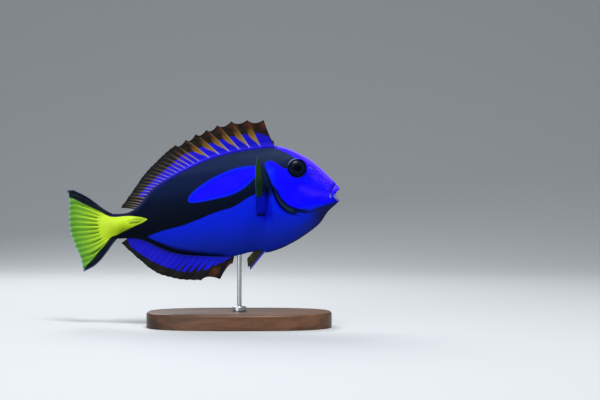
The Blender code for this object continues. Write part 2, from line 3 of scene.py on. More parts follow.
import bmesh
import bpy
import numpy as np
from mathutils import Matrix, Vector


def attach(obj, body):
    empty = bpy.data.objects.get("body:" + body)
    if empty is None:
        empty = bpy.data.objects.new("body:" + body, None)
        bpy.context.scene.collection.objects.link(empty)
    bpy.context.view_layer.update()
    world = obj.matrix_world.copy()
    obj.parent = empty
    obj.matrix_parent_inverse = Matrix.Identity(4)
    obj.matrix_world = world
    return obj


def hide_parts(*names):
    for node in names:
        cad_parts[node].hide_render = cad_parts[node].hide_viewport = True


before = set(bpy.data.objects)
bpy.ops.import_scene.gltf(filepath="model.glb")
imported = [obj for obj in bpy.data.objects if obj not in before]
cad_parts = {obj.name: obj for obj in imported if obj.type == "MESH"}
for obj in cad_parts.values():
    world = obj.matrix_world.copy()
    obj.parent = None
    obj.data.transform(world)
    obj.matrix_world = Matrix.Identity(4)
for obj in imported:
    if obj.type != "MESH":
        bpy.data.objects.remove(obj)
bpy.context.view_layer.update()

flanks = (("left", 1), ("right", -1))
# The fish is drawn in its own frame, in mm: s back from the lip, out from the middle plane, h up.
# Its patterns are drawn as they show from the camera's side and wrapped on to both flanks.
pose = {
    "lipForward": 66.1, "lipHeight": 85.4, "headUp": 7.5,
    "swingFrom": 104.0, "swingTo": 152.0, "swingSlope": 0.42,
    "eyeline": (26.85, 0.44), "distance": 921.0,  # where the camera looks, and from how far
}


def curveThrough(points):
    # a smooth curve y(x) through the points that doesn't overshoot them
    x, y = np.array(points, float).T
    rise = np.diff(y) / np.diff(x)
    both = rise[:-1] * rise[1:]
    total = np.where(both > 0, rise[:-1] + rise[1:], 1.0)
    slope = np.concatenate([rise[:1], np.where(both > 0, 2 * both / total, 0.0), rise[-1:]])

    def value(q):
        q = np.asarray(q, float)
        i = np.clip(np.searchsorted(x, q) - 1, 0, len(rise) - 1)
        wide = x[i + 1] - x[i]
        t = (q - x[i]) / wide
        c = np.clip(t, 0, 1)
        inside = (1 + 2 * c) * (1 - c) ** 2 * y[i] + c * (1 - c) ** 2 * wide * slope[i]
        inside += c * c * (3 - 2 * c) * y[i + 1] + c * c * (c - 1) * wide * slope[i + 1]
        return inside + (t - c) * wide * np.where(t < 0, slope[i], slope[i + 1])

    return value


def curveAlong(points):
    # a smooth curve through points in the plane or in space, by the share of its length
    p = np.array(points, float)
    length = np.concatenate([[0.0], np.cumsum(np.linalg.norm(np.diff(p, axis=0), axis=1))])
    axes = [curveThrough(list(zip(length / length[-1], p[:, k]))) for k in range(p.shape[1])]
    return lambda share: np.stack([axis(share) for axis in axes], -1)


def ease(low, high, x):
    t = np.clip((x - low) / (high - low), 0, 1)
    return t * t * (3 - 2 * t)


def hump(x, wide):
    return np.exp(-((x / wide) ** 2))


def between(ends, share):
    return ends[0] + (ends[1] - ends[0]) * share


def fullTurn(count):
    return np.linspace(0, 2 * math.pi, count + 1)[:-1]


def swing(s):
    # how far the middle plane lies to the left at s, and its slope there
    span = pose["swingTo"] - pose["swingFrom"]
    t = np.clip((s - pose["swingFrom"]) / span, 0, 1)
    aside = pose["swingSlope"] * (span * (t**3 - t**4 / 2) + np.maximum(s - pose["swingTo"], 0))
    return aside, pose["swingSlope"] * t * t * (3 - 2 * t)


def place(s, out, h):
    # from the fish's frame to metres in the room
    aside, slope = swing(s)
    turn = np.arctan(slope)
    along = s - out * np.sin(turn)
    up = math.radians(pose["headUp"])
    x = pose["lipForward"] - along * math.cos(up) - h * math.sin(up)
    z = pose["lipHeight"] - along * math.sin(up) + h * math.cos(up)
    return np.stack([x, aside + out * np.cos(turn), z], -1) * 0.001


def seen(s, h, y):
    # where a point of the flank shows from the camera's side, in mm of the fish's frame
    s0, h0 = pose["eyeline"]
    near = pose["distance"] / (pose["distance"] + y)
    return s0 + (s - s0) * near, h0 + (h - h0) * near


def fromLine(line, x, y):
    # distance to an open line
    best = np.full(np.shape(x), 1e9)
    for (ax, ay), (bx, by) in zip(line, line[1:]):
        dx, dy = bx - ax, by - ay
        t = np.clip(((x - ax) * dx + (y - ay) * dy) / max(dx * dx + dy * dy, 1e-9), 0, 1)
        best = np.minimum(best, np.hypot(x - ax - t * dx, y - ay - t * dy))
    return best


def insideBy(outline, x, y):
    # distance to a closed outline, positive inside; its corners are rounded first
    p = np.array(outline, float)
    for _ in range(2):
        q = np.roll(p, -1, 0)
        p = np.stack([0.75 * p + 0.25 * q, 0.25 * p + 0.75 * q], 1).reshape(-1, 2)
    inside = np.zeros(np.shape(x), bool)
    for (ax, ay), (bx, by) in zip(p, np.roll(p, -1, 0)):
        if ay != by:
            inside ^= ((ay > y) != (by > y)) & (x < ax + (y - ay) * (bx - ax) / (by - ay))
    return np.where(inside, 1, -1) * fromLine(np.concatenate([p, p[:1]]), x, y)


def gridFaces(rows, columns, closed=False):
    # quads between rows of points; closed joins the last column to the first
    i, j = np.meshgrid(np.arange(rows - 1), np.arange(columns if closed else columns - 1), indexing="ij")
    k = (j + 1) % columns
    quads = np.stack([i * columns + j, i * columns + k, (i + 1) * columns + k, (i + 1) * columns + j], -1)
    return quads.reshape(-1, 4)


def faceOut(points, faces, middle):
    # turns the faces so that they look away from the middle
    a, b, c = (points[faces[:, k]] - middle for k in (0, 1, 2))
    return faces if np.einsum("ij,ij->", a, np.cross(b, c)) > 0 else faces[:, ::-1]


def addPiece(name, points, faces, finish, slot, nodes=(), fields=None, lie=None):
    # a mesh piece with its fields, which the finish reads; lie is a place to lay patterns out by
    mesh = bpy.data.meshes.new(name)
    mesh.from_pydata(points.reshape(-1, 3).tolist(), [], faces.tolist())
    for field, values in (fields or {}).items():
        layer = mesh.attributes.new(field, "FLOAT", "POINT")
        layer.data.foreach_set("value", np.asarray(values, np.float32).ravel())
    if lie is not None:
        layer = mesh.attributes.new("lie", "FLOAT_VECTOR", "POINT")
        layer.data.foreach_set("vector", np.asarray(lie, np.float32).ravel())
    mesh.shade_smooth()
    mesh.materials.append(finish)
    piece = bpy.data.objects.new(name, mesh)
    bpy.context.scene.collection.objects.link(piece)
    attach(piece, "root")
    if nodes:
        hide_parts(*nodes)
    return piece


def addTube(name, grid, *values):
    # a piece round its middle, from a grid of points in metres, [ring, place on the ring]
    points = grid.reshape(-1, 3)
    faces = gridFaces(*grid.shape[:2], closed=True)
    return addPiece(name, points, faceOut(points, faces, points.mean(0)), *values)


def tint(code):
    # an sRGB hex value as linear light
    parts = [int(code[k:k + 2], 16) / 255 for k in (0, 2, 4)]
    return [p / 12.92 if p <= 0.04045 else ((p + 0.055) / 1.055) ** 2.4 for p in parts] + [1.0]


def addNode(tree, kind, *values, give=None, stops=(), **settings):
    # adds a node, sets it, feeds its inputs in their order and hands back one of its outputs
    node = tree.nodes.new("ShaderNode" + kind)
    for name, value in settings.items():
        setattr(node, name, value)
    for socket, value in zip([socket for socket in node.inputs if socket.enabled], values):
        if isinstance(value, bpy.types.NodeSocket):
            tree.links.new(value, socket)
        elif value is not None:
            socket.default_value = value
    for spot in range(len(stops) - 2):
        node.color_ramp.elements.new(1.0)
    for spot, (position, colour) in enumerate(stops):
        node.color_ramp.elements[spot].position = position
        node.color_ramp.elements[spot].color = tint(colour)
    outputs = [socket for socket in node.outputs if socket.enabled]
    return node.outputs[give] if give else outputs[0]


def paintFinish(name, patterns, base, layers=(), bumps=(), clear=None, **sockets):
    # a base colour with layers of paint over it; each says where it lies, its paint and strength, and may
    # add how ragged its edge is and at which values of its field it starts and is full
    finish = bpy.data.materials.new(name)
    finish.use_nodes = True
    tree = finish.node_tree
    shader = tree.nodes["Principled BSDF"]
    for socket, value in sockets.items():
        shader.inputs[socket.replace("_", " ")].default_value = value
    known = {"object": addNode(tree, "TexCoord", give="Object")}

    def read(keys):
        # a pattern or a field of the mesh; of several, their product
        key, *others = keys.split()
        if key not in known and key in patterns:
            kind, space, *values = patterns[key]
            known[key] = addNode(tree, kind, read(space), *values)
        elif key not in known:
            give = "Vector" if key == "lie" else "Fac"
            known[key] = addNode(tree, "Attribute", give=give, attribute_name=key)
        value = known[key]
        for other in others:
            value = addNode(tree, "Math", value, read(other), operation="MULTIPLY")
        return value

    def colourOf(paint):
        # one colour, or a ramp along a field that a pattern may unsettle
        if isinstance(paint, str):
            return tint(paint)
        along, *unsettled, stops = paint
        value = read(along)
        if unsettled:
            value = addNode(tree, "Math", read(unsettled[0]), unsettled[1], value, operation="MULTIPLY_ADD")
        return addNode(tree, "ValToRGB", value, stops=stops)

    colour = colourOf(base)
    for where, paint, strength, *rest in layers:
        ragged, low, high = (*rest, *(0.0, 0.0, 1.0)[len(rest):])
        amount = read(where)
        if ragged:
            amount = addNode(tree, "Math", read("fine"), ragged, amount, operation="MULTIPLY_ADD")
            low, high = low + ragged / 2, high + ragged / 2
        share = addNode(tree, "MapRange", amount, low, high, 0.0, strength, interpolation_type="SMOOTHSTEP")
        colour = addNode(tree, "Mix", share, colour, colourOf(paint), data_type="RGBA")
    tree.links.new(colour, shader.inputs["Base Color"])
    if clear:
        tree.links.new(read(clear), shader.inputs["Alpha"])
    normal = None
    for pattern, strength, high in bumps:
        normal = addNode(tree, "Bump", strength, high * 0.001, None, read(pattern), normal, give="Normal")
    if normal:
        tree.links.new(normal, shader.inputs["Normal"])
    return finish


body = {
    # outlines in side view, half thickness and height of the widest place, as in the solids
    "back": (
        (2.6, 8.5), (7.9, 15.6), (15.9, 24.7), (24.3, 31.1), (35.2, 36.6), (44, 38), (61, 37.8),
        (80.8, 35.3), (99.2, 29.8), (109.8, 25.4), (120.8, 19.6), (127.8, 12.9), (133.2, 9), (141.7, 6.9),
        (149, 7.4),
    ),
    "belly": (
        (2.6, -4.5), (9.3, -9), (16, -16.2), (24.1, -21.3), (34, -26), (46, -29.8), (52, -30.6),
        (63, -29), (73, -30.2), (89, -28.2), (104.5, -25.3), (114, -22.2), (122.1, -17.8),
        (128.2, -13.7), (135.9, -10.6), (149, -9.1),
    ),
    "halfWidth": (
        (2.6, 3), (7.4, 4.5), (16, 7.1), (26, 8.8), (36, 10.6), (46, 11.7), (56, 12),
        (70, 11.4), (85, 9.9), (100, 7.9), (115, 5.7), (128, 4.1), (138, 3.4), (148, 2.75),
        (153, 1.75), (157, 0.9), (160, 0.35), (161.5, 0.08),
    ),
    "widest": (
        (2.6, 1.5), (10, 3), (26, 6), (45, 5), (70, 4), (100, 1), (125, -0.8),
        (149, -0.9),
    ),
    "section": 1.1,
    # hind edge of the gill cover and the fold inside it, each by height
    "gillLine": (
        (-26, 23.5), (-14, 24.6), (-10, 27), (-8, 32), (-4.5, 37.3), (0, 40.4), (6, 42.4),
        (13, 43.6), (20, 45.2), (26, 45.4), (31, 43.6), (40, 40),
    ),
    "gillFold": (
        (-8.3, 23), (-7.6, 27.1), (-5.6, 29.1), (-3.2, 33.8), (-0.8, 36.4), (1.5, 38.2), (3.7, 39.6),
        (6.8, 40.6), (9.6, 41.8), (13, 42.8), (15.4, 43.7), (19.1, 44.7), (23.1, 45.9), (28.5, 47),
    ),
    "lateralLine": (
        (46, 31.5), (60, 32.3), (80, 29.5), (100, 23), (115, 16), (125, 8), (140, 1.5),
    ),
    # folds and swellings of the head: a line, its half width and its height
    "folds": (
        (((21.4, 17.6), (19.6, 16.4), (18, 15.9), (15.8, 15.6)), 0.9, -0.45),  # before the eye
        (((7.4, 7.8), (6.1, 5.4), (5.6, 3), (5.3, 0)), 0.6, -0.4),  # behind the lips
        (((25, 7.2), (12, 2.4)), 3, 0.4),  # cheek muscle
        (((34.5, 16), (33, 8), (28.5, 0.5), (21, -3.8)), 1, -0.22),  # edge of the cheek bone
        (((31, -7.2), (22, -8.6), (13, -7), (6.5, -4.6)), 1.1, -0.35),  # under the jaw
        (((47.4, 6.6), (49.6, -4.6)), 2, 0.6),  # fleshy root of the pectoral fin
    ),
    "scalpelSlot": ((129.4, 0.8), (138.4, 0.8)), "slotDeep": 0.3,
    "cover": 0.75, "coverDip": 0.45, "coverStep": 0.6,  # lift of the gill cover's edge, and the fall behind
    "foldLift": 0.25, "foldDeep": 0.32, "lateralLift": 0.1,
    "end": 161.2, "around": 240, "faceRings": 84, "flankRings": 144,
}
eye = {
    "at": (26.0, 21.0), "radius": 5.75, "dome": 1.6, "depth": 3.2,
    "out": 7.25, "forward": 12.0, "up": 14.0, "span": (6.7, 11.5),
    "lid": 0.42, "lidAt": 6.3, "socket": 2.6,
    "nostrils": ((18.0, 19.6, 0.6), (16.4, 18.6, 0.45)), "nostrilRim": 0.2, "nostrilDeep": 0.8,
    # fine skin rings round it, which reach further towards the nostrils
    "ringsFrom": 4.4, "ringsTo": 8.2, "ringsMore": 3.2, "ringsToward": 191.0,
    "ringRows": 46, "ringColumns": 240,
}
back, belly, halfWidth, widest, gillLine, gillFold, lateralLine = (
    curveThrough(body[name])
    for name in ("back", "belly", "halfWidth", "widest", "gillLine", "gillFold", "lateralLine")
)


def fromFold(x, y):
    # distance behind the fold inside the gill cover, negative before it
    line = [(along, height) for height, along in body["gillFold"]]
    return np.copysign(fromLine(line, x, y), x - gillFold(y))


def relief(s, h, x, y):
    # what stands out of the plain flank, or is sunk in it
    past = s - gillLine(h)
    free = ease(-11, -5, h) * (1 - ease(18, 24, h))
    behind = -body["coverDip"] * hump(past, 4) - body["coverStep"] * hump(past, 0.6)
    total = np.where(past <= 0, body["cover"] * hump(past, 5), behind) * free
    fold = fromFold(x, y)
    low = ease(24, 31, x) * (1 - ease(8, 13, y))
    lift = body["foldLift"] * (1 - ease(-0.9, 0.3, fold)) * hump(fold, 5)
    total += low * (lift - body["foldDeep"] * hump(fold, 0.55))
    for line, wide, high in body["folds"]:
        total += high * hump(fromLine(line, x, y), wide)
    total += body["lateralLift"] * hump(h - lateralLine(s), 0.6) * ease(46, 50, s)
    total -= body["slotDeep"] * hump(fromLine(body["scalpelSlot"], s, h), 1.2)
    for s0, h0, wide in eye["nostrils"]:
        near = np.hypot(s - s0, h - h0)
        total += eye["nostrilRim"] * hump(near - wide - 0.15, 0.26)
        total -= eye["nostrilDeep"] * (1 - ease(wide * 0.3, wide * 1.05, near))
    return total


def flank(s, rise):
    # the skin's distance from the middle plane and its height; rise is 1 on the back, -1 on the belly
    reach = np.where(rise > 0, back(s) - widest(s), widest(s) - belly(s))
    h = widest(s) + reach * rise
    across = np.sqrt(np.clip(1 - rise * rise, 0, 1))
    out = halfWidth(s) * across ** body["section"]
    flat = np.minimum(1, 2 * across)
    out = out + relief(s, h, *seen(s, h, swing(s)[0] - out)) * flat
    behind, above = s - eye["at"][0], h - eye["at"][1]
    near = np.hypot(behind, above)
    rim = eye["out"] + math.tan(math.radians(eye["forward"])) * behind
    rim -= math.tan(math.radians(eye["up"])) * above
    out = out + (rim - out) * (1 - ease(*eye["span"], near)) * flat
    lid = eye["lid"] * hump(near - eye["lidAt"], 0.42) - 0.05 * hump(near - 7.6, 0.5)
    return out + lid - eye["socket"] * (1 - ease(4.9, 5.9, near)), h


def flankOut(s, h):
    span = np.where(h > widest(s), back(s) - widest(s), widest(s) - belly(s))
    return flank(s, np.clip((h - widest(s)) / span, -1, 1))[0]


def underside(s, out):
    # height of the belly's skin at a distance from the middle plane
    low, high = np.full(np.shape(s), -1.0), np.zeros(np.shape(s))
    for _ in range(30):
        rise = (low + high) / 2
        inside = flank(s, rise)[0] < out
        low, high = np.where(inside, rise, low), np.where(inside, high, rise)
    return flank(s, low)[1]


outlines = {
    "palette": (
        (39.8, 36.4), (36.8, 35.1), (33.3, 33.2), (29.9, 30.9), (27.4, 28.8), (25.8, 26.9), (27.5, 22.5),
        (32.1, 21.3), (35.2, 22.2), (37.6, 24.8), (39.7, 26.9), (42.3, 28.2), (45.1, 28.1), (46.8, 26.8),
        (46.4, 23.4), (44.9, 18.6), (44.1, 14.8), (43.2, 10.5), (43.4, 7.5), (46, 5), (50.5, 7.5),
        (54.1, 8.3), (59.7, 6.7), (66, 3.4), (71, 1.3), (79, 0.2), (87.1, -1.5), (92.8, -3.4),
        (97, -4.3), (104.8, -6.3), (113.5, -7.3), (119.8, -8.1), (127.7, -10.2), (127.7, -10.2),
        (125.8, -11.9), (120.8, -14.9), (115.7, -17.6), (110.6, -20), (102.3, -22.9), (90, -25.9),
        (76, -29.2), (70, -60), (260, -60), (260, 90), (40, 90),
    ),
    "island": (
        (99.6, 9.6), (97.7, 12.9), (93.7, 15.9), (88.7, 18.8), (82.4, 21.7), (75, 24.3), (67.7, 26.3),
        (59.9, 27), (53.5, 26.6), (50.6, 25), (49.8, 22.5), (50.8, 20.6), (55.2, 17.9), (59.2, 14.3),
        (64.9, 11.2), (72.3, 9), (80.6, 8.3), (89, 7.6), (94.8, 7.4), (98.6, 8.2),
    ),
    "wedge": (
        (168.8, 18), (164.3, 14.7), (159.2, 11.6), (155.2, 9.1), (152.3, 6.6), (148.6, 5.3), (143.7, 4.9),
        (138.3, 4.8), (133.5, 3.8), (129.3, 2.7), (126, 0.95), (126, 0.95), (129.7, -0.8),
        (135.4, -2.5), (139.4, -3.9), (144.6, -5.6), (148, -6.8), (151.6, -7.2), (155, -10.5),
        (160.1, -15.4), (165, -19.6), (169.9, -23.9), (172.3, -25.6), (205, -48), (205, 38),
        (175.6, 22.2),
    ),
    "analBlue": (
        (72, -27), (76, -31), (78.1, -31.8), (86, -34), (94, -36.8), (101.2, -37),
        (109.2, -35.9), (117.5, -32.1), (125.6, -27.8), (134.5, -20.6), (142, -13), (140, 0),
        (72, 0),
    ),
}


# strokes over the pattern: a line as it shows from the camera's side, its half width and its strength
strokes = {
    "tones": (
        (((25, 7.4), (19, 4.8), (9.5, 1.6)), 2.2, 0.2),  # cheek
        (((22.5, 3.6), (16, 2.2)), 1.2, 0.1),
        (((41.5, 26.5), (44.5, 26)), 2.5, 0.1),  # top of the gill cover
        # painted shade below the groove before the eye
        (((21, 16), (20, 12.5)), 2.6, -0.16),  # before the eye
    ),
    "creases": (
        (((21.2, 17.6), (19.6, 16.2), (18, 15.6), (15.8, 15.3)), 0.85, 0.6),  # under the nostrils
        (((21.5, 14.5), (19, 12.8)), 1.3, 0.45),
    ),
    # painted shadow along the lower edge of the cheek and under the jaw
    "jawLine": (((31, -6.6), (27.5, -6.6), (24, -7.6)), 1.7, 1),
    "underJaw": (((26, -7.8), (19, -8.6), (12, -9)), 0.8, 0.75),
    "lipCorner": (((6.5, 3.6), (6.9, 1.1), (7, -0.5)), 0.45, 0.7),
    # painted shadow, a thin dark line below each scalpel
    "scalpelShadow": (((129.8, 0), (138.4, -0.3)), 0.28, 1),
}


def stroke(x, y, line, wide, strength):
    return strength * hump(fromLine(line, x, y), wide)


def markings(s, out, h):
    # the painted pattern as fields over the skin
    x, y = seen(s, h, swing(s)[0] - out)
    palette, island, wedge = (insideBy(outlines[key], x, y) for key in ("palette", "island", "wedge"))
    crest = back(s) - h
    near = np.hypot(s - eye["at"][0], h - eye["at"][1])
    angle = np.arctan2(h - eye["at"][1], s - eye["at"][0])

    # from the dim blue of the belly to the violet of the forehead; the blue dims downwards partly as the
    # fish's own tone and partly as painted shade of the underside
    tone = 0.42 - 0.26 * ease(0, -27, y) + 0.18 * ease(46, 38, x) * ease(-8, -2, y)
    tone += 0.14 * ease(44, 34, x) * ease(7, 14, y + 0.15 * (26 - x)) * ease(26, 18, x)
    tone += 0.3 * hump(crest, 4.5) * ease(44, 38, s) * ease(0, 14, s)
    tone += 0.12 * ease(14, 4, x) * ease(-2, 4, y) + 0.22 * ease(0.0, 3.0, island)
    tone += sum(stroke(x, y, *values) for values in strokes["tones"])

    jaw = -3.0 - 0.2 * (x - 4) - 0.07 * np.maximum(x - 17, 0)  # lower edge of the cheek
    underJaw = stroke(x, y, *strokes["underJaw"]) * ease(10, 22, x)
    fold = fromFold(x, y)
    behindFold = (fold, gillLine(h) - s + 0.3, (x - 30.5) / 2, (y + 8.6) / 2, (12.0 - y) / 3)
    pit = np.zeros_like(s)
    # painted reflection: a thin pale arc on the lid's upper rear rim
    lidReflection = hump(near - 6.15, 0.26) * hump(angle - 1.15, 0.75)
    pale = np.maximum(lidReflection, stroke(x, y, *strokes["lipCorner"]))
    for s0, h0, wide in eye["nostrils"]:
        away = np.hypot(s - s0, h - h0)
        pit = np.maximum(pit, 1 - ease(wide * 0.6, wide * 1.0, away))
        # painted highlight on the upper side of each nostril's rim
        pale = np.maximum(pale, 0.45 * hump(away - wide - 0.2, 0.22) * ease(-0.4, 0.5, h - h0))
    # dark: painted shade in the grooves under the nostrils, in the nostril pits, below and before the eye,
    # in the fold inside the gill cover and under the gill cover's lower hind edge, with a dark ring round
    # the eye
    dark = [stroke(x, y, *values) for values in strokes["creases"]]
    dark += [
        0.75 * pit,
        hump(near - 5.75, 0.6) * (1 - 0.8 * pale),  # round the eye
        0.5 * hump(near - 6.7, 0.7) * hump(angle + 2.4, 1.4),
        0.9 * hump(fold, 0.75) * ease(24, 29, x) * ease(14, 8, y),
        0.95 * hump(gillLine(h) - s + 0.1, 1.0) * ease(-9.5, -7, y) * ease(13.5, 9, y),
    ]
    # the black fades out before the pectoral fin and over the anal fin, and has a hard edge elsewhere
    soft = 1 + 7 * hump(x - 47.0, 5.0) * hump(y - 8.0, 4.5) + 3 * ease(-14, -20, y) * ease(124, 112, x)
    snout = ease(34, 24, s) * ease(3, 7, s) * ease(6.8, 8, near)
    return {
        "black": np.minimum(palette / soft, -island), "yellow": wedge, "tone": tone,
        "chin": ease(0.6, -1.6, y - jaw) * ease(30, 12, x + 0.5 * (jaw - y - 3)),
        "throat": ease(-3.2, -9, y - jaw) * ease(44, 16, x),
        # painted shadow under the cheek's edge and the jaw
        "jawLine": np.maximum(stroke(x, y, *strokes["jawLine"]), underJaw),
        "shade": ease(44, 47.5, x) * ease(59, 51, x) * ease(12, 7, y) * ease(-15, -5, y),
        "gill": np.minimum.reduce(behindFold),
        "crestLine": ease(1.7, 0.8, crest) * ease(36, 38, s) * ease(128, 118, s),
        "rimLight": ease(1.5, 0.2, crest) * ease(39, 33, s) * ease(2, 6, s),
        # painted sheen, lighter along the top of the tail stalk
        "stalkTop": hump(crest, 2.5) * ease(104, 124, s) * ease(0.5, -0.5, wedge),
        # painted shade: a thin dark line along the belly's lower edge behind the chin
        "keel": ease(1.7, 0.3, h - belly(s)) * ease(2, 5, s) * ease(56, 46, s),
        "speckle": ease(14, 9, crest) * ease(1.5, 4, crest) * snout,
        # under: the yellow is painted darker towards the bottom of the stalk, as painted shade
        "under": ease(4.5, -7.0, y) * (1 - 0.8 * ease(142, 156, s)), "tip": ease(138, 129, s),
        # depth: the black is lighter higher up, as painted light from above
        "pale": pale, "dark": np.maximum.reduce(dark), "lip": np.zeros_like(s), "depth": ease(32, -8, y),
        # slot: painted shadow, a thin dark line below each scalpel
        "slot": stroke(s, h, *strokes["scalpelShadow"]),
    }


def skinFinish():
    # Surgeonfish skin: tiny scales under a film of slime. It looks like velvet paint, deep and even,
    # and the film only lifts the colour a little towards the edges.
    return paintFinish(
        "surgeonfish skin under slime",
        {
            "fine": ("TexNoise", "object", 1000 / 0.75, 2.0),
            "mottle": ("TexNoise", "object", 1000 / 6.0, 3.0),
            "dots": ("TexNoise", "object", 1000 / 1.3, 1.0),
            "scales": ("TexVoronoi", "object", 1000 / 0.9),  # real ones are about 0.4 mm, drawn coarser
        },
        ("tone", "mottle", 0.12, (
            (0.16, "12268c"), (0.34, "0820b0"), (0.5, "041cca"), (0.64, "0603f4"), (0.78, "1c0ee8"),
            (0.92, "3018ea"), (1.0, "5233f2"),
        )),
        (
            ("speckle", ("dots", ((0.3, "1205a8"), (0.5, "2814d8"), (0.7, "6048f4"))), 0.3),
            ("rimLight", "8672f6", 0.55),
            ("throat", "18247c", 0.75),
            ("shade", "0008b4", 0.9),
            ("chin", "12193e", 0.92, 0.3),
            # painted shadow under the cheek's edge and the jaw
            ("jawLine", "050f2a", 0.85, 0.2, 0.15, 0.9),
            # painted shade along the belly's lower edge
            ("keel", "06050f", 0.85),
            # the black's ramp is painted light: lighter towards the back, darkest low down
            ("black", ("depth", "fine", 0.06, (
                (0.06, "13203e"), (0.12, "0b1636"), (0.34, "071432"), (0.62, "020a20"), (1.0, "010614"),
            )), 1.0, 0.35, -0.45, 0.45),
            # painted sheen along the top of the tail stalk
            ("stalkTop", "24264a", 0.5),
            ("gill", "04102a", 0.9, 0.0, -0.5, 0.3),
            ("gill", "12282e", 0.8, 0.3, 0.5, 1.1),
            ("crestLine", "0e0a84", 0.9),
            # a painted reflection on the lid's upper rim and painted highlights on the nostrils' upper
            # rims, with the pale corner of the mouth
            ("pale", "98a2d0", 0.9, 0.0, 0.1, 0.9),
            # painted shade in the grooves, pits and folds of the head and inside the mouth, with a dark
            # ring round the eye
            ("dark", "02071a", 0.95, 0.0, 0.1, 0.95),
            # the yellow is painted darker towards the bottom of the stalk: painted shade
            ("yellow", ("under", "mottle", 0.3, (
                (0.15, "bede3a"), (0.5, "a8c624"), (0.8, "90ac18"), (1.1, "74840f"),
            )), 1.0, 0.45, -0.3, 0.3),
            ("tip yellow", "75921c", 0.6, 0.5, 0.1, 1.0),
            # painted shadow below each scalpel
            ("slot yellow", "5c7010", 0.6, 0.0, 0.3, 1.0),
            ("lip", "6f7688", 0.9, 0.2),
        ),
        (("scales", 0.2, 0.2), ("mottle", 0.15, 0.6)),
        Roughness=0.45, IOR=1.36, Specular_IOR_Level=0.05,
    )


mouth = {
    # rings from inside the mouth over the lips: middle of the upper lip, side, middle of the lower lip
    "rings": (
        ((6, 1.1), (6.3, 2, 1.05), (6, 0.95)),
        ((3.5, 1.25), (4.9, 2.5, 1.1), (3.5, 0.75)),
        ((2.1, 2.9), (4.5, 2.8, 1.2), (2.7, -1)),
        ((0.45, 4), (4.4, 3.3, 1.3), (1.5, -2.3)),
        ((0.5, 5.2), (4.9, 3.8, 1.4), (1.3, -3.4)),
        ((1.45, 6.7), (5.7, 4, 1.6), (1.9, -4.2)),
        ((2.45, 7.7), (6.4, 3.8, 1.8), (2.7, -4.3)),
    ),
    "edge": (3.1, 7.3, 3.4),
    "steps": 6,
}


def orbitReach(angle):
    # how far the fine rings reach round the eye
    toward = np.clip(np.cos(angle - math.radians(eye["ringsToward"])), 0, 1)
    return eye["ringsTo"] + eye["ringsMore"] * toward**4


def skinGrid():
    # rings from inside the mouth to under the tail fin, for the right side from the back to the belly
    rise = np.cos(np.linspace(0, math.pi, body["around"] // 2 + 1))
    share = np.abs(rise)
    table = np.array([[*upper, *side, *lower] for upper, side, lower in mouth["rings"]])
    paths = [curveThrough(list(enumerate(column))) for column in table.T]
    rings = []
    for i in range((len(table) - 1) * mouth["steps"] + 1):
        us, uh, ss, so, sh, ls, lh = (path(i / mouth["steps"]) for path in paths)
        endS, endH = np.where(rise > 0, us, ls), np.where(rise > 0, uh, lh)
        out = so * np.sqrt(1 - rise * rise)
        rings.append((ss + (endS - ss) * share**1.5, out, sh + (endH - sh) * share))
    over, beside, under = mouth["edge"]
    first = beside + (np.where(rise > 0, over, under) - beside) * share**1.5
    gill = np.full_like(rise, 40.0)
    for _ in range(30):
        gill = (gill + gillLine(flank(gill, rise)[1])) / 2
    for i in range(body["faceRings"] + 1):
        s = first + (gill - first) * (1 - (1 - i / body["faceRings"]) ** 1.15)
        rings.append((s, *flank(s, rise)))
    for i in range(body["flankRings"] + 1):
        s = gill + 0.02 + (body["end"] - gill) * (i / body["flankRings"]) ** 1.15
        rings.append((s, *flank(s, rise)))
    s, out, h = (np.array([ring[k] for ring in rings]) for k in range(3))
    out[:, 0] = out[:, -1] = 0.0
    return s, out, h


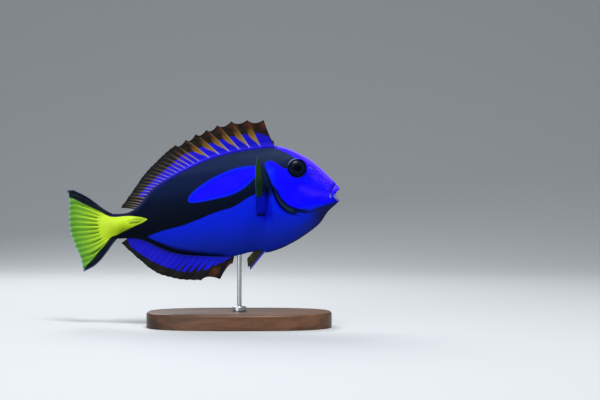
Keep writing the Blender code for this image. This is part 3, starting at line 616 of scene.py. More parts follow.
def makeSkin():
    s, out, h = skinGrid()
    fields = markings(s, out, h)
    rank = np.arange(len(s))[:, None] / mouth["steps"]  # 0 inside the mouth, 6 behind the lips
    onLip = ease(0.8, 1.6, rank) * (1 - ease(4.6, 5.4, rank))
    fields["lip"] = onLip * ease(1.1, -0.2, h)
    fields["tone"] = np.where(rank < 6, 0.8 + 0.16 * ease(2.0, 6.0, h), fields["tone"])
    # painted shade inside the mouth and in the groove behind the lips
    fields["dark"] = np.maximum(fields["dark"], ease(1.3, 0.8, rank) + 0.75 * hump(rank - 6.0, 0.17))
    fields["chin"] = np.where(rank < 5.6, 0.0, fields["chin"])
    fields["pale"] = np.where(rank < 5.6, 0.0, fields["pale"])

    def bothSides(right):
        return np.concatenate([right, right[:, -2:0:-1]], 1)

    s, h, sides = bothSides(s), bothSides(h), np.concatenate([-out, out[:, -2:0:-1]], 1)
    points = place(s, sides, h).reshape(-1, 3)
    fields = {name: bothSides(value).ravel() for name, value in fields.items()}
    faces = gridFaces(len(s), body["around"], closed=True)
    middle = points.mean(0)
    faces = faceOut(points, faces, middle)
    # round each eye the skin is cut out, and rings fine enough for the lid and the nostrils are laid in
    behind, above = s.ravel() - eye["at"][0], h.ravel() - eye["at"][1]
    spare = np.hypot(behind, above) - orbitReach(np.arctan2(above, behind))
    faces = faces[~((spare < 0.4) & (np.abs(sides.ravel()) > 1.0))[faces].any(1)]
    rows, columns = eye["ringRows"], eye["ringColumns"]
    turn = fullTurn(columns)
    angle = turn - 0.6 * np.sin(turn - math.radians(eye["ringsToward"]))
    far = between((eye["ringsFrom"], orbitReach(angle)), np.linspace(0, 1, rows)[:, None])
    ps, ph = eye["at"][0] + far * np.cos(angle), eye["at"][1] + far * np.sin(angle)
    po = flankOut(ps, ph)
    extra = markings(ps, po, ph)
    spans = []
    for side in (-1, 1):
        patch = place(ps, side * po, ph).reshape(-1, 3)
        ring = faceOut(patch, gridFaces(rows, columns, closed=True), middle)
        spans.append((len(points), len(points) + (rows - 1) * columns))
        faces = np.concatenate([faces, ring + len(points)])
        points = np.concatenate([points, patch])
        fields = {name: np.concatenate([value, extra[name].ravel()]) for name, value in fields.items()}
    flesh = ("head", "trunk", "tail_stalk")
    piece = addPiece("skin", points, faces, skinFinish(), "body_skin", flesh, fields)
    # the rings are joined to the skin round them, and the openings out of sight are closed
    mesh = bmesh.new()
    mesh.from_mesh(piece.data)
    mesh.verts.ensure_lookup_table()
    inner = {v for first, last in spans for v in range(first, first + columns)}
    spare = np.concatenate([spare, np.zeros(len(points) - len(spare))])
    for side in (-1, 1):
        rim = [
            edge for edge in mesh.edges
            if edge.is_boundary and edge.verts[0].co.y * side > 0
            and all(abs(spare[v.index]) < 4 and v.index not in inner for v in edge.verts)
        ]
        bmesh.ops.bridge_loops(mesh, edges=rim)
    bmesh.ops.delete(mesh, geom=[v for v in mesh.verts if not v.link_faces], context="VERTS")
    bmesh.ops.holes_fill(mesh, edges=[edge for edge in mesh.edges if edge.is_boundary])
    bmesh.ops.recalc_face_normals(mesh, faces=mesh.faces)
    for face in mesh.faces:
        face.smooth = True
    unclosed = sum(not edge.is_manifold for edge in mesh.edges)
    print("skin:", len(mesh.faces), "faces,", unclosed, "open edges")
    mesh.to_mesh(piece.data)
    mesh.free()


makeSkin()


def eyeFinish():
    # An eyeball behind its clear cornea: deep and nearly black, with one faint light on the wet surface
    return paintFinish(
        "wet eyeball under a clear cornea",
        {"fine": ("TexNoise", "lie", 6.0, 3.0)},
        ("fromPupil", "fine", 0.08, (
            (0.0, "000000"), (0.42, "000001"), (0.49, "020a1c"), (0.68, "061024"), (0.84, "040b1a"),
            (0.96, "02050e"), (1.0, "02040c"),
        )),
        bumps=(("fine", 0.1, 0.1),),
        Roughness=0.3, IOR=1.38, Specular_IOR_Level=0.04,
        Coat_Weight=0.08, Coat_Roughness=0.06, Coat_IOR=1.36,
    )


def makeEyes():
    finish = eyeFinish()
    angle = fullTurn(96)
    lift = np.linspace(0, math.pi / 2, 40)
    radius = np.concatenate([[0.01, eye["radius"] * 0.8, eye["radius"]], eye["radius"] * np.cos(lift)])
    high = np.concatenate([[-eye["depth"], -eye["depth"], -1.2], eye["dome"] * np.sin(lift)])
    radius[-1] = 0.01
    fields = {"fromPupil": np.repeat(radius / eye["radius"], len(angle))}
    # the pattern lies in spokes, and changes little from the pupil to the edge
    lie = np.stack(np.broadcast_arrays(np.cos(angle), np.sin(angle), radius[:, None] * 0.12), -1)
    for word, side in flanks:
        axis = np.array([-math.tan(math.radians(eye["forward"])), side, math.tan(math.radians(eye["up"]))])
        axis /= np.linalg.norm(axis)
        across = np.cross(axis, (0.0, 0.0, 1.0))
        across /= np.linalg.norm(across)
        ring = np.cos(angle)[:, None] * across + np.sin(angle)[:, None] * np.cross(across, axis)
        centre = np.array([eye["at"][0], side * eye["out"], eye["at"][1]])
        local = centre + radius[:, None, None] * ring + high[:, None, None] * axis
        grid = place(*np.moveaxis(local, -1, 0))
        addTube("eye" + word.capitalize(), grid, finish, "eye", ("eye_" + word,), fields, lie)
    print("eyes: done")


makeEyes()


def vane(left, right, name, finish, slot, nodes, fields):
    # a thin closed sheet between two grids of points, [column, row]
    columns, rows = left.shape[:2]
    points = np.concatenate([left.reshape(-1, 3), right.reshape(-1, 3)])
    half = columns * rows
    sheet = gridFaces(columns, rows)
    ids = np.arange(half).reshape(columns, rows)
    rim = np.concatenate([ids[:, 0], ids[-1, 1:], ids[-2::-1, -1], ids[0, -2:0:-1]])
    after = np.roll(rim, -1)
    side = np.stack([rim, after, after + half, rim + half], 1)
    faces = faceOut(points, np.concatenate([sheet[:, ::-1], sheet + half, side]), points.mean(0))
    fields = {
        key: np.tile(np.broadcast_to(value, (columns, rows)).ravel(), 2) for key, value in fields.items()
    }
    lie = np.stack([fields["lane"], fields["share"] * 1.3, np.zeros(2 * half)], -1)
    return addPiece(name, points, faces, finish, slot, nodes, fields, lie)


def betweenRays(points, perGap):
    # fine columns from a list of ray, web, ray, web, ... ray: each gap is bowed through its web point
    p = np.array(points, float)
    t = np.arange(perGap)[:, None] / perGap
    rows = []
    for a, web, b in zip(p[:-2:2], p[1::2], p[2::2]):
        bend = 2 * web - (a + b) / 2
        rows.append((1 - t) ** 2 * a + 2 * t * (1 - t) * bend + t * t * b)
    return np.concatenate(rows + [p[-1:]])


def ridges(lane, share, sharp, branches):
    # 1 on a ray and 0 between; soft rays part in two towards the tip
    t = lane - np.floor(lane)
    spread = branches * 0.22 * np.clip((share - 0.4) / 0.6, 0, 1)
    near = [hump(t - shift - offset, sharp) for shift in (0, 1) for offset in (spread, -spread)]
    return np.clip(sum(near) / (1 + hump(spread, sharp)), 0, 1)


fins = {
    # roots of spines 1, 2, 3 and 9 with the rest evenly between, then where the last soft ray is rooted
    "dorsalRoots": (38.9, 40.9, 47.6, 87.3), "dorsalEnd": 133.0, "dorsalSoft": 20,
    "dorsalTips": (
        (38.7, 41.9), (43.5, 55.1), (54.0, 56.4), (64.4, 56.9), (73.8, 55.7), (81.2, 53.6), (88.4, 51.8),
        (95.3, 49.0), (102.6, 46.4),
    ),
    "dorsalNotch": (40.4, 42.6),
    "dorsalEdge": (
        (102.6, 46.4), (107.0, 44.0), (114.8, 38.5), (124.7, 30.7), (134.0, 20.9), (141.0, 13.7),
        (144.2, 10.6),
    ),
    "analRoots": (73.6, 77.4, 83.4), "analEnd": 140.6, "analSoft": 18,
    "analTips": ((75.7, -34.8), (85.1, -43.8), (97.5, -43.0)),
    "analNotch": (79.3, -36.6),
    "analEdge": (
        (97.5, -43.0), (109.0, -41.1), (117.5, -38.3), (125.6, -34.4), (133.6, -26.9), (140.5, -19.4),
        (146.7, -12.3),
    ),
    "scallop": 2.0, "scallopAt": 0.58, "softNotch": 0.3,
    "crowding": 1.42,  # soft rays stand closer together towards the tail
    "spine": (0.58, 0.24), "softRay": (0.46, 0.2), "web": (0.26, 0.14),  # half thickness at root and tip
    "sunk": 1.2,  # of the root into the skin
    "lean": 0.12, "slack": 0.35, "sheath": 0.05,
    "joints": 5.2,  # a joint of the rays every 1.2 mm
    # how far over the back the dorsal fin's blue begins
    "blueLift": ((100.0, -2.0), (110.0, 0.4), (122.6, 1.4), (126.3, 2.4), (130.0, 5.0), (133.0, 9.0)),
}
blueLift = curveThrough(fins["blueLift"])
# threads run along a fin's rays, fine across them, and joint marks the rays' joints
finPatterns = {
    "fine": ("TexNoise", "lie", 9.0, 3.0),
    "threads": ("TexNoise", "lie", 5.0, 4.0),
}
finBumps = (("threads", 0.3, 0.12), ("joint", 0.25, 0.05))
finFilm = {"Roughness": 0.45, "IOR": 1.36, "Specular_IOR_Level": 0.15}


def finLines(kind, starts, sign):
    # roots of the rays and of the webs between them, and the fin's edge at each; sign is -1 under the belly
    roots = [r for a, b in zip(starts, starts[1:]) for r in (a, (a + b) / 2)]
    tips, at = fins[kind + "Tips"], fins["scallopAt"]
    edge = [tips[0], fins[kind + "Notch"]]
    for a, b in zip(tips[1:], tips[2:]):
        edge += [a, (a[0] + (b[0] - a[0]) * at, a[1] + (b[1] - a[1]) * at - sign * fins["scallop"])]
    edge.append(tips[-1])
    path, count = curveAlong(fins[kind + "Edge"]), 2 * fins[kind + "Soft"]
    for i in range(count + 1):
        u = i / count
        u *= fins["crowding"] + (1 - fins["crowding"]) * u
        roots.append(starts[-1] + (fins[kind + "End"] - starts[-1]) * u)
        if i > 0:
            edge.append(tuple(path(u) - (0.0, sign * fins["softNotch"] * (i % 2))))
    return roots, edge


def rayGrid(rays, perGap, rows):
    # lane counts the rays from 0 across a fin, and share runs from its root to its edge
    lane = np.linspace(0, rays - 1, (rays - 1) * perGap + 1)[:, None]
    return lane, np.linspace(0, 1, rows)[None, :]


def medianFin(kind, starts, sign, finish, paint):
    roots, edge = finLines(kind, starts, sign)
    perGap = 10
    root = betweenRays([(r, 0.0) for r in roots], perGap)[:, 0]
    tip = betweenRays(edge, perGap)
    lane = (np.arange(len(root)) / perGap)[:, None]
    share = np.linspace(0, 1, 44)[None, :] ** 0.95
    crest = (back if sign > 0 else belly)(root) - sign * fins["sunk"]
    soft = ease(len(starts) - 1.2, len(starts) - 0.6, lane)  # 0 on the spines and 1 on the soft rays
    s = root[:, None] + (tip[:, :1] - root[:, None]) * share
    length = np.hypot(tip[:, 0] - root, tip[:, 1] - crest)[:, None]
    lean = sign * fins["lean"] * share * (1 - share) * length
    h = crest[:, None] + (tip[:, 1:] - crest[:, None]) * share + lean
    onRay = ridges(lane, share, 0.15 + 0.05 * soft, soft)
    ray = between((between(fins["spine"], share), between(fins["softRay"], share)), soft)
    web = between(fins["web"], share)
    above = share * length - fins["sunk"]
    sheath = fins["sheath"] * halfWidth(root)[:, None] * np.clip(1 - above / 2.4, 0, 1)
    half = web + np.maximum(ray - web, 0) * onRay
    half = half * (1 - 0.5 * ease(0.985, 1.0, share)) + sheath
    wave = fins["slack"] * np.sin(lane * 2.1) * share**2  # slack of the membrane
    fields = {
        "lane": lane, "share": share, "above": above, "toEdge": (1 - share) * length,
        "joint": onRay * np.sin(above * fins["joints"]), **paint(lane, share, s, h),
    }
    sides = (place(s, wave + half, h), place(s, wave - half, h))
    vane(*sides, kind + "Fin", finish, "fin_membrane", (kind + "_fin",), fields)


def paintDorsal(lane, share, s, h):
    # blue leaves at the root, with an ochre flame behind each spine and dark skin above
    soft = ease(7.8, 8.4, lane)
    length = np.hypot(s[:, -1:] - s[:, :1], h[:, -1:] - h[:, :1])
    t = lane - np.floor(lane)
    aside = np.minimum(t, 1 - t)
    gap = 6.6 - 3.6 * ease(7.5, 9.0, lane) - 1.4 * ease(9, 28, lane)  # mm from ray to ray
    drop = np.where(t < 0.66, 0.24 * (1 - t / 0.66) ** 2, 0.1 * (t / 0.34 - 1.94) ** 2)
    top = 0.57 - 0.06 * ease(8, 15, lane) + 0.12 * ease(20, 28, lane) - drop * (1 - 0.45 * soft)
    wide = 0.38 * ease(0.0, 0.5, share) * (1 - 0.8 * ease(0.5, 0.95, share)) * (1 - 0.35 * soft)
    flame = ease(-0.45, 0.45, (wide - t) * gap) * ease(0.98, 0.52, share)
    blue = np.minimum((top - share) * length, h - back(s) - blueLift(s))
    line = hump(aside * gap, 0.3) * ease(0.03, 0.12, share) * ease(1.0, 0.75, share)
    return {
        "blue": np.minimum(blue, fins["dorsalEnd"] - s),
        "ochre": flame * ease(110, 100, s) * (lane >= 2),
        "rear": ease(60, 128, s),
        "paleRay": line * ease(0.8, 3.2, lane),
        "tipBrown": ease(0.45, 0.9, share) * ease(9.0, 1.0, lane) * hump(aside, 0.33),
    }


def dorsalFinish():
    # Dorsal fin: a thin film over spines. Satin, and dark where the film is doubled by pigment.
    return paintFinish(
        "dorsal fin membrane over spines", finPatterns,
        ("threads", ((0.35, "0c0a09"), (0.55, "1a120c"), (0.75, "302012"))),
        (
            ("tipBrown", "48200e", 0.65, 0.3, 0.1, 1.0),
            ("rear", ("threads", (
                (0.35, "0c1216"), (0.6, "161b1e"), (0.8, "262a2c"),
            )), 0.85, 0.0, 0.5, 1.0),
            ("blue", ("rear", "threads", 0.3, (
                (0.1, "08049c"), (0.3, "0e08b6"), (0.7, "160cb8"), (1.0, "241ab4"),
            )), 1.0, 2.0, -0.4, 0.4),
            ("ochre", ("share", "threads", 0.16, (
                (0.1, "7c74cc"), (0.2, "76683c"), (0.42, "7e6216"), (0.6, "6a4c12"), (0.8, "40260f"),
            )), 0.95, 0.25),
            ("paleRay", ("share", "threads", 0.2, (
                (0.12, "8078e0"), (0.3, "8a82a8"), (0.5, "7e6e48"), (0.75, "5c4a30"), (1.0, "3a2e22"),
            )), 0.75, 0.0, 0.15, 0.95),
            ("toEdge", "060505", 0.95, 0.0, 1.2, 0.5),
            ("above", ("rear", ((0.0, "2016c8"), (0.5, "3a2ce0"), (0.95, "24224c"))), 0.9, 0.0, 1.1, 0.2),
        ),
        finBumps, **finFilm,
    )


def paintAnal(lane, share, s, h):
    # blue leaves between the rays over dark skin
    x, y = seen(s, h, swing(s)[0])
    t = lane - np.floor(lane)
    aside = np.minimum(t, 1 - t)
    gap = 4.6 - 2.9 * ease(3, 20, lane)
    uneven = 1 + 0.3 * np.sin(np.floor(lane) * 2.4)  # no two leaves alike
    split = 0.5 * ease(0.02, 0.95, share) ** 1.4 * (0.08 + 0.92 * ease(120, 100, x)) * uneven
    return {
        "blue": np.minimum(insideBy(outlines["analBlue"], x, y), (aside - split) * gap),
        "rear": ease(76, 138, s),
        "brown": ease(98, 84, x) * ease(0.35, 0.65, share) * ease(0.06, 0.3, aside),
        "darkRay": hump(aside * gap, 0.3) * ease(0.04, 0.45, share) * (0.35 + 0.65 * ease(126, 104, x)),
    }


def analFinish():
    # Anal fin: the same film over soft rays, blue for the inner two thirds
    return paintFinish(
        "anal fin membrane over soft rays", finPatterns,
        ("threads", ((0.35, "0a0a09"), (0.6, "13120e"), (0.78, "211d14"))),
        (
            ("brown", ("threads", ((0.35, "3c2010"), (0.7, "5e3820"))), 0.85, 0.3, 0.1, 1.0),
            ("blue", ("rear", "threads", 0.3, (
                (0.1, "1420c0"), (0.3, "0e16d0"), (0.6, "0a0cb8"), (1.0, "0e0cb4"),
            )), 1.0, 1.0, -0.35, 0.35),
            ("darkRay", "050634", 0.6, 0.3, 0.2, 1.0),
            ("toEdge", "060505", 0.95, 0.0, 1.0, 0.4),
            ("above", "0a1024", 0.8, 0.0, 0.9, 0.1),
        ),
        finBumps, **finFilm,
    )


def makeMedianFins():
    first, second, third, ninth = fins["dorsalRoots"]
    spines = [first, second] + [third + (ninth - third) * i / 6 for i in range(7)]
    medianFin("dorsal", spines, 1, dorsalFinish(), paintDorsal)
    medianFin("anal", fins["analRoots"], -1, analFinish(), paintAnal)
    print("dorsal and anal fins: done")


makeMedianFins()


def patchOf(upper, lower, root, rear, across, out):
    # a surface that four curves bound
    a, o = across[..., None], out[..., None]
    mixed = upper(out) * (1 - a) + lower(out) * a + root(across) * (1 - o) + rear(across) * o
    inner = root(np.float64(0)) * (1 - a) + root(np.float64(1)) * a
    outer = rear(np.float64(0)) * (1 - a) + rear(np.float64(1)) * a
    return mixed - inner * (1 - o) - outer * o


tail = {
    "upper": (
        (148, 6.6), (152.8, 9.3), (157, 12.6), (161.1, 16.7), (165.9, 20.9), (171.3, 24.5),
        (175.8, 26.8), (179.7, 26.9),
    ),
    "lower": (
        (148, -8.2), (152.2, -11.6), (157.6, -17.2), (163, -22.2), (168.2, -25.5), (175.4, -28),
    ),
    "rear": (
        (179.7, 26.9), (179, 20.5), (180.4, 12), (181.2, 1.7), (179.2, -9.7), (175.9, -20.8),
        (175.4, -28),
    ),
    "rays": 16, "ray": (0.6, 0.28), "pleat": 0.5,
}


def tailFinish():
    # Tail fin: film pleated between branched rays, so that light catches each pleat on one side
    return paintFinish(
        "tail fin membrane, pleated between its rays", finPatterns,
        ("threads", ((0.3, "050b14"), (0.6, "0c1824"), (0.78, "1c2838"))),
        (
            ("wedge", ("share", "threads", 0.12, (
                (0.06, "b8d02a"), (0.36, "b4ce26"), (0.55, "98c22a"), (0.85, "6fa42c"), (1.0, "5a922e"),
            )), 1.0, 0.8, -0.3, 0.3),
            # painted shade in the valley of each pleat
            ("pleat", ("share", ((0.3, "3e5a04"), (0.6, "2c5006"), (1.0, "305c16"))), 0.95, 0.1, 0.05, 0.6),
            ("toEdge", "7fa8a0", 0.6, 0.3, 1.1, 0.3),
            ("margin", "4a4e78", 0.8, 0.0, 0.7, 0.25),
        ),
        finBumps, **finFilm,
    )


def makeTail():
    rays = tail["rays"]
    lane, share = rayGrid(rays, 10, 60)
    across, out = np.broadcast_arrays(lane / (rays - 1), share)
    ends = (tail["upper"][0], tail["lower"][0])
    curves = (curveAlong(line) for line in (tail["upper"], tail["lower"], ends, tail["rear"]))
    s, h = np.moveaxis(patchOf(*curves, across, out), -1, 0)
    onRay = ridges(lane, share, 0.2, 1.0)
    web = between(fins["web"], share)
    half = web + (between(tail["ray"], share) - web) * onRay
    uneven = 0.75 + 0.25 * np.sin(lane * 2.6 + 0.8) + 0.2 * np.sin(lane * 1.1)  # no two pleats alike
    fold = -tail["pleat"] * uneven * np.cos(2 * math.pi * lane) * ease(0.28, 0.5, share)
    length = np.hypot(s[:, -1] - s[:, 0], h[:, -1] - h[:, 0])[:, None]
    wedge = insideBy(outlines["wedge"], *seen(s, h, swing(s)[0]))
    gap = np.floor(lane)
    # painted shade in the valley of each pleat, midway between two rays
    pleat = hump(lane - gap - 0.5, 0.18) * (0.7 + 0.3 * np.cos(math.pi * gap)) * uneven
    fields = {
        "lane": lane, "share": share, "toEdge": (1 - share) * length, "wedge": wedge,
        "joint": onRay * np.sin(share * length * fins["joints"]),
        "pleat": pleat * ease(0.33, 0.39, share) * ease(1.02, 0.42, share) * ease(0.4, 1.6, wedge),
        "margin": np.minimum(across, 1 - across) * 45,  # mm from the upper or the lower edge
    }
    sides = (place(s, fold + half, h), place(s, fold - half, h))
    vane(*sides, "tailFin", tailFinish(), "tail_fin", ("caudal_fin",), fields)
    print("tail fin: done")


makeTail()


paired = {
    "pectoralRoot": ((46.8, 7.4), (49.4, -5.4)),
    "pectoralUpper": ((48.6, 22.5, 20.5), (49.4, 36, 31.2)),
    "pectoralLower": ((51.6, 18.5, -6.7), (55.3, 27, -6.2)),
    "pectoralRear": (
        (49.4, 36, 31.2), (51.6, 38, 24), (52.7, 38.5, 17), (53.4, 37, 9.5), (54.4, 33, -0.5),
        (55.3, 27, -6.2),
    ),
    # outline of the green part as it shows from the camera's side
    "spindle": (
        (50.2, 34.5), (49.4, 29), (49.2, 22), (49.5, 14), (50.6, 8.5), (51.6, 5.5), (53.2, 5.5),
        (60, 10), (60, 30),
    ),
    # half thickness of the web and what a ray adds to it, at root and tip
    "pectoralRays": 15, "pectoralWeb": (0.2, 0.12), "pectoralRay": (0.34, 0.1),
    "pelvicRays": 5, "pelvicWeb": (0.22, 0.12), "pelvicRay": (0.36, 0.16),
    "pelvicRoot": (52.4, 59.6), "pelvicOut": 2.6,
    "pelvicTips": {
        "right": ((64.6, 6.5, -40.3), (64.9, 4.6, -36.3)),
        "left": ((66.4, 7.6, -38.8), (66.1, 5.2, -33.4)),
    },
}


def pectoralFinish():
    # Pectoral fin: a green spindle where it shows nearly edge-on, and almost clear inside and below
    return paintFinish(
        "pectoral fin membrane, nearly clear below", finPatterns,
        ("threads", ((0.3, "01041c"), (0.7, "030838"))),
        (
            ("green", ("down", "threads", 0.3, (
                (0.2, "2c4c0c"), (0.5, "28480a"), (0.8, "15300c"),
            )), 1.0, 0.5, -0.6, 0.8),
            ("onRay", "081a10", 0.2, 0.0, 0.3, 1.0),
            ("root", "0410b0", 1.0),
            ("rim", "34507a", 0.6),
        ),
        finBumps, clear="solid", Roughness=0.6, IOR=1.36, Specular_IOR_Level=0.02,
    )


def pelvicFinish():
    # Pelvic fin: one blue spine and a dark web behind it
    return paintFinish(
        "pelvic fin membrane behind one spine", finPatterns,
        ("threads", ((0.3, "0a0e10"), (0.6, "161e1a"), (0.8, "2a301e"))),
        (
            ("olive", ("threads", ((0.3, "453808"), (0.6, "6f6420"), (0.8, "a5a26a"))), 0.85, 0.2),
            ("onRay", "2c3630", 0.3, 0.0, 0.3, 1.0),
            ("lane", ("share", ((0.0, "1c2ad0"), (0.4, "3438a8"), (1.0, "4c4690"))), 0.95, 0.1, 0.85, 0.5),
        ),
        finBumps, **finFilm,
    )


def pairedVane(kind, word, side, grid, half, finish, fields):
    across, outward = np.gradient(grid, axis=0), np.gradient(grid, axis=1)
    normal = np.cross(across, outward)
    normal /= np.linalg.norm(normal, axis=-1, keepdims=True)
    sheets = []
    for sign in (1, -1):
        p = grid + normal * half[..., None] * sign
        sheets.append(place(p[..., 0], side * p[..., 1], p[..., 2]))
    node = kind + "_fin_" + word
    vane(*sheets, kind + "Fin" + word.capitalize(), finish, kind + "_membrane", (node,), fields)


def makePectorals():
    finish = pectoralFinish()
    ends = [(s, float(flankOut(s, h)) - 0.6, h) for s, h in paired["pectoralRoot"]]
    rays = paired["pectoralRays"]
    lane, share = rayGrid(rays, 8, 36)
    across, out = np.broadcast_arrays(lane / (rays - 1), share)
    upper, lower = (ends[0], *paired["pectoralUpper"]), (ends[1], *paired["pectoralLower"])
    curves = (curveAlong(line) for line in (upper, lower, ends, paired["pectoralRear"]))
    grid = patchOf(*curves, across, out)
    onRay = ridges(lane, share, 0.2, 1.0)
    half = between(paired["pectoralWeb"], share) + between(paired["pectoralRay"], share) * onRay
    half = half + 0.3 * (1 - share) ** 4  # fleshy at the root
    green = insideBy(paired["spindle"], *seen(grid[..., 0], grid[..., 2], -grid[..., 1]))
    # clear inside and below, but for the rays, the root and the rims
    rims = np.maximum(hump((rays - 1 - lane) / 1.1, 1.0), 0.6 * ease(0.9, 1.0, share))
    clear = np.clip(0.9 - 0.12 * onRay - 0.6 * rims - 0.5 * ease(0.2, 0.0, share), 0, 1)
    fields = {
        "lane": lane, "share": share, "onRay": onRay, "joint": 0.0, "green": green,
        "down": ease(28, 6, grid[..., 2]),
        "solid": 1 - ease(0.5, -0.5, green) * clear,
        "rim": ease(1.0, 0.3, (1 - share) * 30) * ease(-0.2, 0.4, green),
        "root": ease(0.32, 0.12, share) * ease(0.35, 0.6, across),
    }
    for word, side in flanks:
        pairedVane("pectoral", word, side, grid, half, finish, fields)
    print("pectoral fins: done")


def makePelvics():
    finish = pelvicFinish()
    (front, rear), out = paired["pelvicRoot"], paired["pelvicOut"]
    rays = paired["pelvicRays"]
    lane, share = rayGrid(rays, 10, 30)
    across = lane / (rays - 1)
    onRay = ridges(lane, share, 0.2, 0.6)
    ray = between(paired["pelvicRay"], share) * onRay * (1.25 - 0.5 * across)
    for word, side, olive in (("left", 1, 1.0), ("right", -1, 0.2)):
        tip, notch = np.array(paired["pelvicTips"][word])
        s = front + (rear - front) * across[:, 0]
        start = np.stack([s, np.full_like(s, out), underside(s, out) + 0.8], -1)
        end = tip + (notch - tip) * across
        end[:, 2] += 0.5 * np.abs(np.sin(math.pi * lane[:, 0]))
        grid = start[:, None] + (end - start)[:, None] * share[..., None]
        length = np.linalg.norm(end - start, axis=-1)[:, None]
        fields = {
            "lane": lane, "share": share, "onRay": onRay, "olive": olive * ease(0.9, 1.6, lane),
            "joint": onRay * np.sin(share * length * fins["joints"]),
        }
        pairedVane("pelvic", word, side, grid, between(paired["pelvicWeb"], share) + ray, finish, fields)
    print("pelvic fins: done")


makePectorals()
makePelvics()


scalpel = {"rear": 138.2, "long": 8.6, "height": 0.8, "thick": 0.65}


def makeScalpels():
    # The two blades that give surgeonfish their name: bone in thin skin, smooth and pale
    finish = paintFinish(
        "scalpel spine of bone, worn smooth", {"fine": ("TexNoise", "object", 1000 / 0.8, 2.0)},
        ("fine", ((0.35, "8fa824"), (0.65, "b9cc3c"))), Roughness=0.35, IOR=1.5, Specular_IOR_Level=0.2,
    )
    angle = fullTurn(24)
    u = np.linspace(0, 1, 24)[:, None]
    radius = scalpel["thick"] * np.sin(math.pi * u**0.8) ** 0.7 + 0.01
    s = scalpel["rear"] - scalpel["long"] * u + 0 * angle
    h = scalpel["height"] + radius * 0.7 * np.sin(angle)
    out = flankOut(s, np.full_like(s, scalpel["height"])) + 0.15 + 0.5 * u + radius * 0.62 * np.cos(angle)
    for word, side in flanks:
        addTube("scalpel" + word.capitalize(), place(s, side * out, h), finish, "tail_skin")
    print("scalpels: done")


makeScalpels()


stand = {
    "length": 120.0, "width": 66.0, "height": 10.0, "bevel": 1.6, "corner": 0.75,
    "rod": 1.5, "foot": 4.5, "footHeight": 3.0, "footRound": 0.8, "gap": 0.3,
}


def walnutFinish():
    # Walnut, planed and oiled: straight dark grain, open pores along it, a low satin shine
    return paintFinish(
        "walnut, planed and oiled",
        {
            "bands": ("TexNoise", "lie", 1000 / 9.0, 3.0),  # growth bands of about 5 mm
            "fine": ("TexNoise", "lie", 1000 / 1.2, 4.0),  # pores, really 0.2 mm, drawn coarser
        },
        ("bands", "fine", 0.35, ((0.42, "24160d"), (0.58, "3d2617"), (0.72, "543622"), (0.86, "674530"))),
        (("fine", "1e120b", 0.55, 0.0, 0.62, 0.72),),
        (("fine", 0.3, 0.1),),
        Roughness=0.45, IOR=1.45, Specular_IOR_Level=0.4,
    )


def steelFinish():
    # Stainless steel, brushed round the rod: fine scratches pull the highlight out sideways
    return paintFinish(
        "stainless steel, brushed",
        {"fine": ("TexNoise", "lie", 1000 / 0.25, 2.0)},
        ("fine", ((0.3, "9b9da1"), (0.7, "c9cbce"))), (), (("fine", 0.15, 0.03),),
        Metallic=1.0, Roughness=0.3,
    )


def bellyOver(x, y):
    # height over the floor where the belly lies over a point of the base
    tilt = math.radians(pose["headUp"])
    z = pose["lipHeight"] - 40.0
    for _ in range(20):
        ahead, above = x - pose["lipForward"], z - pose["lipHeight"]
        s = -ahead * math.cos(tilt) - above * math.sin(tilt)
        h = -ahead * math.sin(tilt) + above * math.cos(tilt)
        z = z + (underside(s, np.abs(y) + 0.001) - h) / math.cos(tilt)
    return z


def makeStand():
    bevel, high = stand["bevel"], stand["height"]
    arc = np.linspace(0, math.pi / 2, 7)[1:]
    inset = np.array([0.0, 0.0, 0.0, *(bevel * (1 - np.cos(arc))), bevel])
    z = np.array([0.0, 0.0, high - bevel, *(high - bevel + bevel * np.sin(arc)), high])
    full = np.array([0.0] + [1.0] * (len(z) - 2) + [0.0])
    turn = fullTurn(144)
    cos, sin = (np.sign(v) * np.abs(v) ** stand["corner"] for v in (np.cos(turn), np.sin(turn)))
    x = cos * ((stand["length"] / 2 - inset) * full)[:, None]
    y = sin * ((stand["width"] / 2 - inset) * full)[:, None]
    base = np.stack([x, y, z[:, None] + 0 * x], -1)

    bottom, edge = high + stand["gap"], stand["footRound"]
    foot = bottom + stand["footHeight"]
    top = float(bellyOver(np.float64(0.0), np.float64(0.0))) - stand["gap"]
    arc = np.linspace(0, math.pi / 2, 6)
    profile = [(0.0, bottom), (stand["foot"], bottom)]
    profile += [(stand["foot"] - edge + edge * math.cos(a), foot - edge + edge * math.sin(a)) for a in arc]
    profile += [(stand["rod"] + 0.3, foot), (stand["rod"], foot + 0.3), (stand["rod"], top), (0.0, top)]
    r, z = np.array(profile).T
    turn = fullTurn(48)
    x, y = r[:, None] * np.cos(turn), r[:, None] * np.sin(turn)
    z = np.where(z[:, None] > top - 0.5, bellyOver(x, y) - 0.1, z[:, None])  # cut to the belly
    rod = np.stack([x, y, z], -1)

    # the last values stretch the grain along the base and the scratches round the rod
    for name, grid, finish, slot, node, stretch in (
        ("standBase", base, walnutFinish(), "stand_wood", "stand_base", (0.09, 1.0, 1.0)),
        ("standRod", rod, steelFinish(), "stand_steel", "stand_rod", (0.15, 0.15, 1.0)),
    ):
        grid = grid * 0.001
        piece = addTube(name, grid, finish, slot, (node,), None, grid * stretch)
        piece.data.set_sharp_from_angle(angle=math.radians(35))
    print("stand: done")


makeStand()


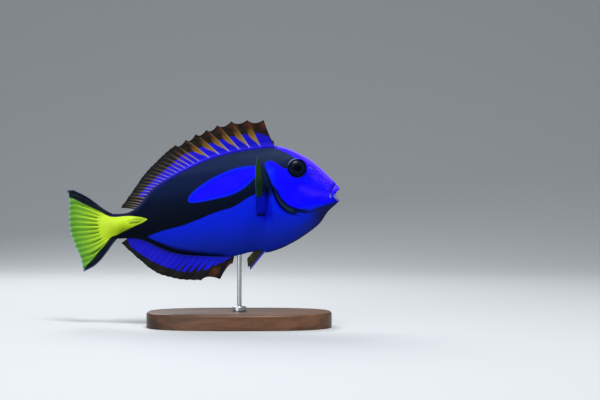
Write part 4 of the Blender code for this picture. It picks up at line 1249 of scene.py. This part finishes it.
studio = {
    # board: a floor that bends up into a wall, in metres; the wall is behind any camera round the fish
    "board": "b0b4b7", "floorFrom": -3.0, "floorTo": 0.7, "bend": 1.5, "wallTop": 3.0, "side": 4.0,
    "air": (0.92, 0.96, 1.0, 1.0), "airLight": 0.42,
    "lens": 85.0, "sensor": 36.0,
    # lamp, watts, width, place, aim
    "lamps": (
        ("key", 11.0, 0.32, (0.12, -0.42, 0.92), (-0.02, 0.0, 0.08)),
        ("fill", 3.6, 0.8, (-0.6, -0.8, 0.25), (-0.03, 0.0, 0.08)),
        ("rim", 5.0, 0.5, (-0.25, 0.55, 0.6), (0.0, 0.0, 0.09)),
    ),
}


def makeBoard():
    turn, bend = np.linspace(0, math.pi / 2, 24), studio["bend"]
    y = studio["floorTo"] + np.array([0.0, *(bend * np.sin(turn)), bend])
    y = np.concatenate([[studio["floorFrom"]], y])[:, None]
    z = np.array([0.0, 0.0, *(bend - bend * np.cos(turn)), studio["wallTop"]])[:, None]
    x = np.array([-studio["side"], studio["side"]])
    points = np.stack([x + 0 * y, y + 0 * x, z + 0 * x], -1).reshape(-1, 3)
    mesh = bpy.data.meshes.new("sweep")
    mesh.from_pydata(points.tolist(), [], gridFaces(len(y), 2).tolist())
    mesh.shade_smooth()
    # painted board: matt, so it only takes the fish's soft shadow
    mesh.materials.append(paintFinish(
        "board, painted matt", {"fine": ("TexNoise", "object", 60.0, 2.0)},
        ("fine", ((0.3, studio["board"]), (0.7, studio["board"]))), Roughness=0.9,
    ))
    sweep = bpy.data.objects.new("sweep", mesh)
    bpy.context.scene.collection.objects.link(sweep)


def makeStudio():
    scene = bpy.context.scene
    for name, watts, size, at, aim in studio["lamps"]:
        lamp = bpy.data.lights.new(name, "AREA")
        lamp.shape = "DISK"
        lamp.energy = watts
        lamp.size = size
        light = bpy.data.objects.new(name, lamp)
        light.location = at
        light.rotation_euler = (Vector(aim) - Vector(at)).to_track_quat("-Z", "Y").to_euler()
        scene.collection.objects.link(light)
    scene.world = bpy.data.worlds.new("room")
    scene.world.use_nodes = True
    background = scene.world.node_tree.nodes["Background"]
    background.inputs["Color"].default_value = studio["air"]
    background.inputs["Strength"].default_value = studio["airLight"]
    lens = bpy.data.cameras.new("camera")
    lens.lens = studio["lens"]
    lens.sensor_width = studio["sensor"]
    lens.clip_start = 0.05
    camera = bpy.data.objects.new("camera", lens)
    across, level = pose["eyeline"]
    middle = place(np.float64(across), np.float64(0.0), np.float64(level))
    camera.location = (float(middle[0]), -0.001 * pose["distance"], float(middle[2]))
    camera.rotation_euler = (math.pi / 2, 0.0, 0.0)
    scene.collection.objects.link(camera)
    bpy.context.scene.camera = camera
    scene.view_settings.view_transform = "Standard"
    print("studio: done")


makeBoard()
makeStudio()
